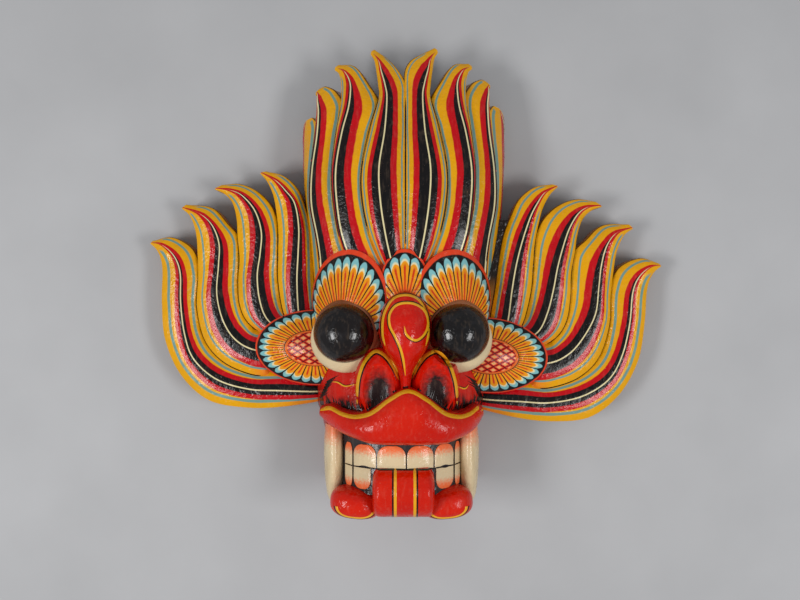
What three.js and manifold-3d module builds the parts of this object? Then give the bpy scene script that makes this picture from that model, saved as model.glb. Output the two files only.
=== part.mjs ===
// A carved and painted wooden fire-demon mask, lying on its back.
// Millimetres. +Z points up out of the face, +Y towards the crown, +X to the viewer's right.
// The origin is at the middle of the mask's box, on the surface that it lies on.

import * as THREE from 'three';
import { mergeVertices } from 'three/addons/utils/BufferGeometryUtils.js';
import Module from 'manifold-3d';

const wasm = await Module();
wasm.setup();

// Head block: rows of [y, value], joined by smooth curves
const faceAxis = -3;
const blockMiddle = [[-180, -3.5], [-20, -3.5], [50, -1.3], [210, -1.3]];
const blockHalfWidth = [
  [-180, 53], [-165, 60], [-140, 64], [-118, 69], [-100, 74], [-60, 74], [-20, 74],
  [0, 76.5], [24, 80], [60, 84], [100, 86], [210, 86],
];
const blockFront = [
  [-180, 60], [-165, 72], [-140, 80], [-118, 85], [-90, 82], [-50, 76], [10, 75],
  [45, 78.5], [85, 77], [125, 66], [160, 54.5], [210, 42],
];
const blockBottom = -178;
const blockTop = 128;
const blockSideHeight = 14;
const blockFullness = 2.15;
const grooveDepth = 3;

// Hollow back, open underneath and at the crown's end
const sideWall = 14;
const hollowFront = [[-150, 38], [-100, 45], [0, 50], [50, 53], [100, 46], [210, 22]];
const hollowBottom = -146;
const hollowTop = 215;
const hollowFloor = -10;
const hollowSideHeight = 8;

// Flames of the crown, left half from the middle outwards: [outer edge, crest, inner edge] stations
const crownFlames = [
  {
    rise: 1.5,
    fuller: 10,
    stations: [
      [[-16, 5], [-9, 5], [1, 5]],
      [[-28, 34], [-15, 34], [1, 34]],
      [[-34, 62], [-19, 62], [1, 62]],
      [[-34.5, 88], [-20, 88], [1, 88]],
      [[-28, 122], [-16, 118], [1, 116]],
      [[-21.5, 147], [-14.5, 146], [0.8, 146]],
      [[-22, 159], [-16, 158], [0.6, 160]],
      [[-23.5, 170], [-19, 169.5], [-4.5, 171]],
      [[-25.5, 181], [-22, 181], [-14, 182]],
      [[-28.5, 186.5], [-28, 189], [-25.5, 191]],
    ],
  },
  {
    rise: 1,
    stations: [
      [[-44, 5], [-38, 5], [-13, 5]],
      [[-53, 34], [-48, 34], [-25.5, 34]],
      [[-58, 62], [-52.5, 62], [-31.5, 62]],
      [[-59.5, 88], [-53.5, 88], [-32, 88]],
      [[-56.5, 118], [-49.5, 118], [-26, 120]],
      [[-52.5, 143], [-44.5, 141], [-20.5, 142]],
      [[-52.5, 161], [-44, 159.5], [-31, 162]],
      [[-55, 171], [-49.5, 172], [-42, 177]],
      [[-58.5, 174.5], [-58, 177], [-55.5, 179.5]],
    ],
  },
  {
    rise: 6,
    stations: [
      [[-70, -12], [-66, -12], [-49, -12]],
      [[-70, 12], [-66, 12], [-45, 12]],
      [[-73, 34], [-69, 34], [-50.5, 34]],
      [[-78.5, 62], [-74, 62], [-55.5, 62]],
      [[-78.5, 88], [-74, 88], [-57, 88]],
      [[-75, 118], [-70.5, 118], [-54, 118]],
      [[-73, 138], [-69.5, 138], [-50.5, 142]],
      [[-73, 149], [-71.5, 150], [-57.5, 156]],
      [[-73.5, 155], [-72.5, 156], [-66, 161.5]],
      [[-74.5, 154.5], [-74, 157.5], [-70.5, 161.5]],
    ],
  },
  {
    rise: 10,
    relief: 0.3,
    stations: [
      [[-91, -34], [-83, -34], [-68, -34]],
      [[-93, 0], [-85, 0], [-69, 0]],
      [[-96, 34], [-88, 34], [-70.5, 34]],
      [[-98.5, 62], [-90, 62], [-76, 62]],
      [[-100, 88], [-91, 88], [-76, 88]],
      [[-100, 112], [-90, 112], [-72.5, 116]],
      [[-96, 124], [-88, 125], [-72, 128]],
      [[-90, 131], [-85, 132], [-76, 134]],
      [[-86, 134], [-83.5, 135.5], [-78.5, 136.5]],
    ],
  },
];
const crownRightWidth = 0.955;
const crownRiseFrom = 60;
const crownFullerFrom = 140;
const crownThickness = 15;

// Flames of a wing, left one from the outermost inwards
const wingFlames = [
  [
    [[-60, -101], [-60, -95], [-60, -84]],
    [[-104, -108], [-104, -94], [-104, -78]],
    [[-136, -109], [-132, -93], [-128, -78]],
    [[-168, -103], [-160, -85], [-150, -70]],
    [[-192, -82], [-180, -68], [-165, -59]],
    [[-206, -52], [-188, -47], [-174, -44]],
    [[-209, -20], [-191.5, -20], [-177, -20]],
    [[-208.5, 6], [-192, 6], [-175.5, 6]],
    [[-210, 18], [-198, 21], [-182, 26]],
    [[-214, 26], [-209, 30], [-200, 36.5]],
    [[-219.5, 31], [-219, 32], [-217.5, 33.5]],
  ],
  [
    [[-112, -82], [-108, -62], [-108, -44]],
    [[-132, -80], [-130, -59], [-126, -43]],
    [[-155, -70], [-145, -50], [-133, -36]],
    [[-171, -52], [-155, -34], [-138.5, -24]],
    [[-178, -24], [-160, -12], [-141, -4]],
    [[-177, 2], [-158.5, 12], [-140, 18]],
    [[-177.5, 22], [-158, 30], [-141.5, 36]],
    [[-179, 40], [-164, 46], [-151, 47]],
    [[-184, 54], [-175, 56], [-165, 61.5]],
    [[-191.5, 61], [-191, 62], [-188, 64.5]],
  ],
  [
    [[-116, -50], [-104, -44], [-94, -36]],
    [[-133, -37], [-117, -33], [-102, -26]],
    [[-140.5, -22], [-123, -17], [-105, -14]],
    [[-142, -2], [-125, 3], [-106.5, 6]],
    [[-141, 18], [-122.5, 22], [-106, 24]],
    [[-142.5, 36], [-121.5, 40], [-106.5, 42]],
    [[-143.5, 52], [-127, 58], [-112, 60]],
    [[-147, 65], [-138, 71], [-124, 74]],
    [[-154, 73], [-149, 76], [-140, 81.5]],
    [[-162.5, 77], [-162, 78], [-157, 81]],
  ],
  [
    [[-98, -40], [-88, -40], [-74, -40]],
    [[-104, -24], [-90, -24], [-75, -24]],
    [[-107.5, 0], [-91, 0], [-77, 0]],
    [[-107.5, 22], [-90, 22], [-78, 22]],
    [[-107.5, 42], [-89.5, 44], [-80, 44]],
    [[-109.5, 60], [-93, 64], [-85, 62]],
    [[-112, 72], [-101, 75], [-91, 77]],
    [[-117, 83], [-110, 84], [-103, 88]],
    [[-123, 90], [-122.5, 91], [-118, 92]],
  ],
];
const flameBulge = 5.5;
const flameOuterLip = 1.5;
const flameInnerDrop = 2.5;
const flameFullWidth = 26;
const flameRootShare = 0.05;
const flameRootDepth = 6;

// Wing board: it leans back to the table away from the head
const wingRootX = 75;
const wingFrontAtRoot = 34;
const wingFrontSlope = 0.1;
const wingBackAtRoot = 14;
const wingBackSlope = 0.08;
const wingClearance = 0.3;
const rightWingTurn = THREE.MathUtils.degToRad(-5);
const rightWingShift = [-5.6, -6.6];
const crestLeans = [0.2, 0.4, 0.5, 0.5];
const crestLeanFrom = 0.3;
const wingBoardOutline = [
  [-60, -98], [-104, -104], [-136, -105], [-165, -99], [-188, -79], [-202, -50], [-205, -20],
  [-202, 2], [-188, 12], [-174, 12], [-158, 27], [-142, 28], [-124, 46], [-107, 46], [-92, 58], [-60, 58],
];

// Ear rosette
const rosette = { x: -74, y: -57, halfWidth: 52, halfHeight: 31.5, base: -14, rim: 8, top: 22 };
const rosetteHeart = { x: -74, y: -57, halfWidth: 26, halfHeight: 15, base: 10, rim: 20, top: 24 };

// Brow fans, between the crown and the eyes
const browFan = { x: 40.5, y: -18, halfWidth: 30.5, halfHeight: 41, peakY: -24, base: -14, rim: 5, top: 14 };
const middleFan = { x: -0.5, y: -3, halfWidth: 18.5, halfHeight: 26, peakY: -22, base: -14, rim: 3, top: 9 };

// Eyes
const eye = { x: 45.5, y: -43.8, z: 77, radius: 24.5, flat: 0.97 };
const eyeSocket = 27.2;
const eyeSocketLift = 15;
const eyeRim = { x: 43.5, y: -42.6, z: 70.5, halfWidth: 27, halfHeight: 26.3, depth: 21 };
const lid = { x: 44.5, y: -49, z: 70, halfWidth: 28.5, halfHeight: 27, thickness: 14 };

// Nose: rows of [y, half width, height of the ridge]
const noseX = 0;
const noseBase = 68;
const noseRows = [
  [-10.5, 2, 92], [-13, 9, 97], [-19, 16, 103], [-30, 20.5, 110], [-44, 21, 113], [-56, 17.5, 111],
  [-66, 11, 105], [-77, 6, 98], [-92, 4, 94],
];
const nostrilAxis = 1.5;
const nostril = { x: 22.2, y: -84, z: 74, halfWidth: 20, halfHeight: 29, depth: 24 };
const nostrilHole = { x: 22.2, y: -92, z: 100, halfWidth: 15.5, halfHeight: 29, depth: 13 };

// Upper lip: rows of [distance from the axis, y of the upper edge, y of the lower edge, height]
const lipRows = [
  [0, -85, -129.5, 112], [14, -91.5, -129.5, 111], [28, -102, -129, 108], [40, -105.5, -126, 102],
  [50, -104.5, -123, 93], [59, -101.5, -119, 80], [66.5, -105, -113, 64],
];
const lipRoot = 18;
const lipLean = 5;

// Teeth, tusks, tongue and lower lip
const teethFront = 92;
const teethEdge = 40;
const teethBack = 20;
const teethHalfWidth = 52;
const teethTop = -120;
const upperGum = -131;
const biteLine = -149;
const lowerGum = -166;
const teethBottom = -170;
const toothRelief = 1.2;
const toothGap = 1.2;
const biteGap = 0.4;
const upperTeeth = [[-49, -41.5], [-41.5, -22.5], [-22.5, 0.8], [0.8, 22.5], [22.5, 39], [39, 45]];
const lowerTeeth = [[-49, -41.5], [-41.5, -26.5], [23.5, 39], [39, 45]];
const tusk = { x: 54.5, z: 48, top: -118, bottom: -180, halfWidth: 9.5, halfDepth: 24 };
const tongueX = -1.5;
const tongueHalfWidth = 24;
const tongueMiddle = [-174, 78];
const tongueProfile = [
  [-146, 72], [-148, 90], [-152, 99], [-159, 104.5], [-168, 106], [-178, 102], [-185, 94], [-187, 84], [-180, 70],
];
const lowerLip = { x: 36, y: -178.5, z: 73, halfWidth: 21, halfHeight: 13.5, depth: 19, turn: 0.1, square: 0.78 };

// Steps that the curves are cut into
const flameSteps = 8;
const ringSteps = 16;
const domeSteps = 16;
const ballSteps = 12;

// A smooth curve through rows of [position, value, ...], read at one position
function smooth(rows, at, column = 1) {
  const last = rows.length - 1;
  const clamped = Math.min(Math.max(at, rows[0][0]), rows[last][0]);
  let i = 0;
  while (i < last - 1 && clamped > rows[i + 1][0]) i += 1;
  const slope = (k) => {
    const before = rows[Math.max(k - 1, 0)];
    const after = rows[Math.min(k + 1, last)];
    return (after[column] - before[column]) / (after[0] - before[0]);
  };
  const span = rows[i + 1][0] - rows[i][0];
  const t = (clamped - rows[i][0]) / span;
  return (
    rows[i][column] * (1 + 2 * t) * (1 - t) ** 2 +
    slope(i) * span * t * (1 - t) ** 2 +
    rows[i + 1][column] * t * t * (3 - 2 * t) +
    slope(i + 1) * span * t * t * (t - 1)
  );
}

// A closed solid from a list of triangles, turned to face outwards
function solid(points, triangles) {
  let volume = 0;
  for (const [a, b, c] of triangles) {
    volume += points[a].dot(new THREE.Vector3().crossVectors(points[b], points[c]));
  }
  const facing = volume < 0 ? triangles.map(([a, b, c]) => [a, c, b]) : triangles;
  return new wasm.Manifold(
    new wasm.Mesh({
      numProp: 3,
      vertProperties: new Float32Array(points.flatMap((p) => [p.x, p.y, p.z])),
      triVerts: new Uint32Array(facing.flat()),
    }),
  );
}

// A three.js geometry as a solid
function solidOf(geometry) {
  const bare = geometry.index ? geometry.clone() : geometry;
  bare.deleteAttribute('normal');
  bare.deleteAttribute('uv');
  const merged = mergeVertices(bare, 1e-4);
  const place = merged.attributes.position;
  const points = Array.from({ length: place.count }, (_, i) => new THREE.Vector3().fromBufferAttribute(place, i));
  const index = Array.from(merged.index.array);
  const triangles = [];
  for (let i = 0; i < index.length; i += 3) {
    const [a, b, c] = index.slice(i, i + 3);
    if (a !== b && b !== c && a !== c) triangles.push([a, b, c]);
  }
  return solid(points, triangles);
}

// Skin over a row of closed rings with as many points each, capped at both ends
function loft(rings) {
  const count = rings[0].length;
  const points = rings.flat();
  const triangles = [];
  for (let r = 0; r + 1 < rings.length; r += 1) {
    for (let k = 0; k < count; k += 1) {
      const next = (k + 1) % count;
      const a = r * count + k;
      const b = r * count + next;
      triangles.push([a, b, b + count], [a, b + count, a + count]);
    }
  }
  for (const start of [0, (rings.length - 1) * count]) {
    const ring = rings[start / count];
    const middle = ring.reduce((sum, p) => sum.add(p), new THREE.Vector3()).divideScalar(count);
    points.push(middle);
    for (let k = 0; k < count; k += 1) {
      const edge = [start + k, start + ((k + 1) % count)];
      triangles.push([points.length - 1, ...(start === 0 ? [edge[1], edge[0]] : edge)]);
    }
  }
  return solid(points, triangles);
}

function joined(parts) {
  return parts.reduce((whole, part) => whole.add(part));
}

// A ball stretched to an ellipsoid; square under 1 fills its corners out in plan
function ellipsoid({ x, y, z, halfWidth, halfHeight, depth, turn = 0, square = 1 }, steps = ballSteps) {
  const ball = new THREE.SphereGeometry(1, steps, Math.round(steps / 2));
  ball.rotateX(Math.PI / 2);
  const place = ball.attributes.position;
  for (let i = 0; i < place.count; i += 1) {
    const filled = [place.getX(i), place.getY(i)].map((v) => Math.sign(v) * Math.abs(v) ** square);
    place.setXY(i, ...filled);
  }
  ball.scale(halfWidth, halfHeight, depth);
  ball.rotateZ(turn);
  ball.translate(x, y, z);
  return solidOf(ball);
}

// A low dome on an oval base with an upright rim: place(x, y, height) sets the surface that it stands on
function dome({ x, y, halfWidth, halfHeight, peakY = 0, base, rim, top }, place, steps = domeSteps) {
  const ring = (share, height) =>
    Array.from({ length: steps }, (_, k) => {
      const turn = (2 * Math.PI * k) / steps;
      return place(
        x + share * halfWidth * Math.cos(turn),
        y + share * halfHeight * Math.sin(turn) + (1 - share) * peakY,
        height,
      );
    });
  const shares = [1, 0.84, 0.6, 0.34, 0.08];
  const rings = shares.map((share) => ring(share, rim + (top - rim) * (1 - share * share)));
  return loft([ring(1, base), ...rings]);
}

function mirrored(shape, middle) {
  return { ...shape, x: middle + shape.x, turn: shape.turn ?? 0 };
}

function bothSides(make, shape, middle = faceAxis) {
  const left = { ...shape, x: middle - shape.x, turn: -(shape.turn ?? 0) };
  return make(left).add(make(mirrored(shape, middle)));
}

// The D-shaped outline of the head block at height y, inset from its sides and its front
function blockRing(y, inset, front, sideHeight) {
  const middle = smooth(blockMiddle, y);
  const half = smooth(blockHalfWidth, y) - inset;
  const ring = [];
  for (let k = 0; k <= ringSteps; k += 1) {
    const turn = (Math.PI * k) / ringSteps;
    const across = Math.sign(Math.cos(turn)) * Math.abs(Math.cos(turn)) ** (2 / blockFullness);
    const up = Math.sin(turn) ** (2 / blockFullness);
    ring.push(new THREE.Vector3(middle + half * across, y, sideHeight + (front - sideHeight) * up));
  }
  return ring;
}

function blockLoft(from, to, steps, inset, frontAt, sideHeight, floor) {
  const rings = [];
  for (let i = 0; i <= steps; i += 1) {
    const y = from + ((to - from) * i) / steps;
    const ring = blockRing(y, inset, frontAt(y), sideHeight);
    const right = ring[0].clone().setZ(floor);
    const left = ring[ring.length - 1].clone().setZ(floor);
    rings.push([right, ...ring, left]);
  }
  return loft(rings);
}

// A point over the crown's front, going on down the straight side past the block's half width
function onCrown(x, y, height) {
  const middle = smooth(blockMiddle, y);
  const half = smooth(blockHalfWidth, y);
  const depth = smooth(blockFront, y) - blockSideHeight;
  const share = THREE.MathUtils.clamp((x - middle) / half, -1, 1);
  const drop = THREE.MathUtils.clamp(Math.abs(x - middle) - half, 0, blockSideHeight);
  const turn = Math.asin(share);
  const normal = new THREE.Vector2(Math.sin(turn) / half, Math.cos(turn) / depth).normalize();
  return new THREE.Vector3(
    middle + half * Math.sin(turn) + height * normal.x,
    y,
    blockSideHeight + depth * Math.cos(turn) + height * normal.y - drop,
  );
}

function wingFront(x) {
  return wingFrontAtRoot - wingFrontSlope * (Math.abs(x) - wingRootX);
}

function wingBack(x) {
  return wingBackAtRoot - wingBackSlope * (Math.abs(x) - wingRootX);
}

// Height of a flame's surface across it: 0 at the outer edge, 1 at the inner edge
function flameHeight(u, width) {
  const size = Math.min(1, width / flameFullWidth);
  const tilt = flameOuterLip * (1 - u) - flameInnerDrop * u;
  return size * (tilt + flameBulge * Math.sin(Math.PI * u) ** 0.8);
}

// A flame from its stations: place(x, y, height) sets the surface, back(x, y) the underside
function flame(stations, place, back, relief = 1) {
  const lines = [0, 1, 2].map(
    (n) => new THREE.CatmullRomCurve3(stations.map((s) => new THREE.Vector3(...s[n], 0)), false, 'catmullrom', 0.5),
  );
  const across = [0, 0.15, 0.4, 0.65, 0.88, 1];
  const rings = [];
  for (let i = 0; i <= flameSteps; i += 1) {
    const [outer, crest, inner] = lines.map((line) => line.getPoint(i / flameSteps));
    const width = outer.distanceTo(inner);
    const rise = THREE.MathUtils.smoothstep(i / flameSteps, -0.01, flameRootShare);
    const plan = (u) =>
      u < 0.5 ? outer.clone().lerp(crest, 2 * u) : crest.clone().lerp(inner, 2 * u - 1);
    const top = across.map((u) => {
      const p = plan(u);
      return place(p.x, p.y, THREE.MathUtils.lerp(-flameRootDepth, relief * flameHeight(u, width), rise));
    });
    const under = [1, 0.5, 0].map((u) => {
      const p = plan(u);
      return back(p.x, p.y);
    });
    rings.push([...top, ...under]);
  }
  return loft(rings);
}

function crownHalf(side) {
  return crownFlames.map(({ rise, fuller = 0, relief, stations }) => {
    const tip = stations[stations.length - 1][0][1];
    const shareFrom = (start, y) => THREE.MathUtils.clamp((y - start) / (tip - start), 0, 1);
    const placed = stations.map((station) =>
      station.map(([x, y], line) => {
        if (side < 0) return [x, y];
        const swell = line === 2 ? fuller * Math.sin(Math.PI * shareFrom(crownFullerFrom, y)) : 0;
        return [x * -crownRightWidth, y + rise * shareFrom(crownRiseFrom, y) + swell];
      }),
    );
    return flame(placed, onCrown, (x, y) => onCrown(x, y, -crownThickness), relief);
  });
}

function crown() {
  return joined([...crownHalf(-1), ...crownHalf(1)]);
}

function headBlock() {
  return blockLoft(blockBottom, blockTop, 11, 1.5, (y) => smooth(blockFront, y) - grooveDepth, blockSideHeight, 0);
}

function hollow() {
  return blockLoft(hollowBottom, hollowTop, 10, sideWall, (y) => smooth(hollowFront, y), hollowSideHeight, hollowFloor);
}

function nose() {
  const rings = noseRows.map(([y, half, height]) => {
    const ring = [];
    for (let k = 0; k <= 12; k += 1) {
      const turn = (Math.PI * k) / 12;
      ring.push(new THREE.Vector3(
        noseX + half * Math.cos(turn), y, noseBase + (height - noseBase) * Math.sin(turn) ** 0.7));
    }
    return ring;
  });
  return loft(rings);
}

// The lip's bow leans to one side of the face's axis, its corners don't
function lipAcross(x) {
  const share = x / lipRows[lipRows.length - 1][0];
  return faceAxis + x + lipLean * (1 - share ** 4);
}

function upperLip() {
  const rings = [];
  const rows = [...lipRows.slice(1).map((row) => [-row[0], ...row.slice(1)]).reverse(), ...lipRows];
  for (const [x, upper, lower, height] of rows) {
    const middle = (upper + lower) / 2;
    const half = (upper - lower) / 2;
    const ring = [];
    for (let k = 0; k <= 10; k += 1) {
      const turn = (Math.PI * k) / 10;
      ring.push(new THREE.Vector3(
        lipAcross(x), middle + half * Math.cos(turn), height - lipRoot + lipRoot * Math.sin(turn) ** 0.75));
    }
    ring.push(new THREE.Vector3(lipAcross(x * 0.9), lower + 1, height - 2 * lipRoot));
    ring.push(new THREE.Vector3(lipAcross(x * 0.9), upper - 1, height - 2 * lipRoot));
    rings.push(ring);
  }
  return loft(rings);
}

// The curved front of the teeth, out from the jaw
function teethArc(x) {
  const share = Math.min(1, Math.abs(x - faceAxis) / teethHalfWidth);
  return teethEdge + (teethFront - teethEdge) * Math.sqrt(1 - share ** 2.4);
}

function teethWall() {
  const rings = [];
  for (const y of [teethBottom, teethTop]) {
    const ring = [];
    for (let k = 0; k <= 16; k += 1) {
      const x = faceAxis - teethHalfWidth * Math.cos((Math.PI * k) / 16);
      ring.push(new THREE.Vector3(x, y, teethArc(x)));
    }
    const back = [1, -1].map((side) => new THREE.Vector3(faceAxis + side * teethHalfWidth, y, teethBack));
    rings.push([...ring, ...back]);
  }
  return loft(rings);
}

function tooth([from, to], low, high, rootUp) {
  const middle = (from + to) / 2;
  const half = (to - from) / 2 - toothGap / 2;
  const rings = [];
  for (const lift of [-6, toothRelief]) {
    const ring = [];
    const shares = [-1, -1, -0.75, -0.3, 0.3, 0.75, 1, 1];
    const heights = [0, 0.6, 0.88, 1, 1, 0.88, 0.6, 0];
    shares.forEach((share, k) => {
      const x = middle + half * share;
      const y = rootUp ? low + (high - low) * heights[k] : high - (high - low) * heights[k];
      ring.push(new THREE.Vector3(x, y, teethArc(x) + lift));
    });
    rings.push(ring);
  }
  return loft(rings);
}

function teeth() {
  return joined([
    teethWall(),
    ...upperTeeth.map((span) => tooth(span, biteLine + biteGap / 2, upperGum, true)),
    ...lowerTeeth.map((span) => tooth(span, lowerGum, biteLine - biteGap / 2, false)),
  ]);
}

function tusks({ x, turn }) {
  const rings = [];
  const shape = [[0, 0.86, 0.92], [0.3, 1, 1], [0.65, 0.94, 0.95], [0.9, 0.78, 0.82], [1, 0.6, 0.7]];
  for (const [share, wide, deep] of shape) {
    const y = tusk.top + (tusk.bottom - tusk.top) * share;
    const ring = [];
    for (let k = 0; k < 12; k += 1) {
      const angle = (2 * Math.PI * k) / 12;
      ring.push(new THREE.Vector3(
        x + tusk.halfWidth * wide * Math.cos(angle) - turn * share, y, tusk.z + tusk.halfDepth * deep * Math.sin(angle)));
    }
    rings.push(ring);
  }
  return loft(rings);
}

function tongue() {
  const [middleY, middleZ] = tongueMiddle;
  const rings = [[-1, 0.68], [-0.93, 0.86], [-0.75, 1], [0.75, 1], [0.93, 0.86], [1, 0.68]].map(([side, size]) =>
    tongueProfile.map(([y, z]) =>
      new THREE.Vector3(
        tongueX + tongueHalfWidth * side, middleY + (y - middleY) * size, middleZ + (z - middleZ) * size)),
  );
  return loft(rings);
}

function carvedHead() {
  const lidShape = { ...lid, depth: lid.thickness };
  const socket = { ...eye, halfWidth: eyeSocket, halfHeight: eyeSocket, depth: eyeSocket, z: eye.z + eyeSocketLift };
  const ball = { ...eye, halfWidth: eye.radius, halfHeight: eye.radius * eye.flat, depth: eye.radius };
  let block = joined([
    headBlock(),
    crown(),
    bothSides((fan) => dome(fan, onCrown), browFan),
    dome(middleFan, onCrown),
    bothSides(ellipsoid, nostril, nostrilAxis),
  ]);
  block = block.subtract(bothSides(ellipsoid, socket));
  const eyes = [bothSides(ellipsoid, eyeRim), bothSides(ellipsoid, lidShape), bothSides(ellipsoid, ball)];
  block = joined([block, ...eyes, nose()]);
  block = block.subtract(bothSides(ellipsoid, nostrilHole, nostrilAxis));
  return joined([block, upperLip(), teeth(), bothSides(tusks, tusk), tongue(), bothSides(ellipsoid, lowerLip)]);
}

// A wing cut to fit the side of the head, with the clearance all round
function fitted(wing, head) {
  const c = wingClearance;
  const steps = [[c, 0, 0], [-c, 0, 0], [0, c, 0], [0, -c, 0], [0, 0, c], [0, 0, -c]];
  return steps.reduce((rest, step) => rest.subtract(head.translate(step)), wing);
}

function wingBoard() {
  const outline = wingBoardOutline.map(([x, y]) => new THREE.Vector2(x, y));
  const plate = new THREE.ExtrudeGeometry(new THREE.Shape(outline), { depth: 1, bevelEnabled: false });
  const place = plate.attributes.position;
  for (let i = 0; i < place.count; i += 1) {
    const x = place.getX(i);
    const top = wingFront(x) - grooveDepth;
    place.setZ(i, place.getZ(i) > 0.5 ? top : wingBack(x));
  }
  return solidOf(plate);
}

// The crests of the right wing lean outwards on the upper part of each flame
function leaningOut(stations, lean) {
  const last = stations.length - 1;
  return stations.map(([outer, crest, inner], k) => {
    const share = THREE.MathUtils.clamp((k / last - crestLeanFrom) / (1 - crestLeanFrom), 0, 1);
    const shift = lean * Math.sin(Math.PI * share);
    return [outer, crest.map((value, axis) => value + shift * (outer[axis] - value)), inner];
  });
}

function wing(shapes) {
  const place = (x, y, height) => new THREE.Vector3(x, y, wingFront(x) + height);
  const back = (x, y) => new THREE.Vector3(x, y, wingBack(x));
  const flames = shapes.map((stations) => flame(stations, place, back));
  const petals = dome(rosette, place);
  const heart = dome(rosetteHeart, place);
  return joined([wingBoard(), ...flames, petals, heart]);
}

function rightWing() {
  const turned = new THREE.Matrix4()
    .makeTranslation(-rosette.x + rightWingShift[0], rosette.y + rightWingShift[1], 0)
    .multiply(new THREE.Matrix4().makeRotationZ(rightWingTurn))
    .multiply(new THREE.Matrix4().makeTranslation(rosette.x, -rosette.y, 0))
    .multiply(new THREE.Matrix4().makeScale(-1, 1, 1));
  return wing(wingFlames.map((stations, n) => leaningOut(stations, crestLeans[n]))).transform(turned.elements);
}

function geometryOf(shape) {
  const { vertProperties, triVerts } = shape.getMesh();
  const geometry = new THREE.BufferGeometry();
  geometry.setAttribute('position', new THREE.BufferAttribute(new Float32Array(vertProperties), 3));
  geometry.setIndex(Array.from(triVerts));
  return geometry;
}

function piece(name, shape, colour) {
  const material = new THREE.MeshStandardMaterial({ color: colour, roughness: 0.3, metalness: 0 });
  const mesh = new THREE.Mesh(geometryOf(shape), material);
  mesh.name = name;
  return mesh;
}

const head = carvedHead();

const group = new THREE.Group();
group.add(piece('mask_head', head.subtract(hollow()), '#c8321c'));
group.add(piece('left_ear_wing', fitted(wing(wingFlames), head), '#e0a010'));
group.add(piece('right_ear_wing', fitted(rightWing(), head), '#e0a010'));

export default group;
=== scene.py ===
# A carved and painted wooden fire-demon mask, lying on its back on a pale table.
# Shapes are worked out in millimetres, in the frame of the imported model, and become metres in mesh_of.
import math
import random

import bpy
import numpy as np
from mathutils import Matrix, Vector
from mathutils.bvhtree import BVHTree


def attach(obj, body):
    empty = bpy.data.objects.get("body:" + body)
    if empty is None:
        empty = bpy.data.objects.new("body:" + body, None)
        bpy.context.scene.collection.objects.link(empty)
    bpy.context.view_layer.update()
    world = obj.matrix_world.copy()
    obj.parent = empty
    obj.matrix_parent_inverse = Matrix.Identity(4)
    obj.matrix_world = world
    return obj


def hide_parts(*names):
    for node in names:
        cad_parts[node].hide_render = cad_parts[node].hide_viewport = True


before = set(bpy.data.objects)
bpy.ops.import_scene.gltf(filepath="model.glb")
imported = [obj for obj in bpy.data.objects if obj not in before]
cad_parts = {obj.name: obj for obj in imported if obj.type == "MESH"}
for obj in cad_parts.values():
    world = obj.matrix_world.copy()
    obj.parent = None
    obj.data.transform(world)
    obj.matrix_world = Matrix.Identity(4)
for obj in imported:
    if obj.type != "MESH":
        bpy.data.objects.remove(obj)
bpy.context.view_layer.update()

MM = 0.001
rand = random.Random(7)

# Head block: rows of [y, value], joined by smooth curves
FACE_AXIS = -3
BLOCK_MIDDLE = [[-180, -3.5], [-20, -3.5], [50, -1.3], [210, -1.3]]
BLOCK_HALF_WIDTH = [
    [-180, 53], [-165, 60], [-140, 64], [-118, 69], [-100, 74], [-60, 74], [-20, 74],
    [0, 76.5], [24, 80], [60, 84], [100, 86], [210, 86],
]
BLOCK_FRONT = [
    [-180, 60], [-165, 72], [-140, 80], [-118, 85], [-90, 82], [-50, 76], [10, 75],
    [45, 78.5], [85, 77], [125, 66], [160, 54.5], [210, 42],
]
BLOCK_BOTTOM = -178
BLOCK_TOP = 128
BLOCK_SIDE_HEIGHT = 14
BLOCK_FULLNESS = 2.15
BLOCK_INSET = 1.5
GROOVE_DEPTH = 3

# Hollow back
SIDE_WALL = 14
HOLLOW_FRONT = [[-150, 38], [-100, 45], [0, 50], [50, 53], [100, 46], [210, 22]]
HOLLOW_BOTTOM = -146
HOLLOW_TOP = 215
HOLLOW_FLOOR = -10
HOLLOW_SIDE_HEIGHT = 8

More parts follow.
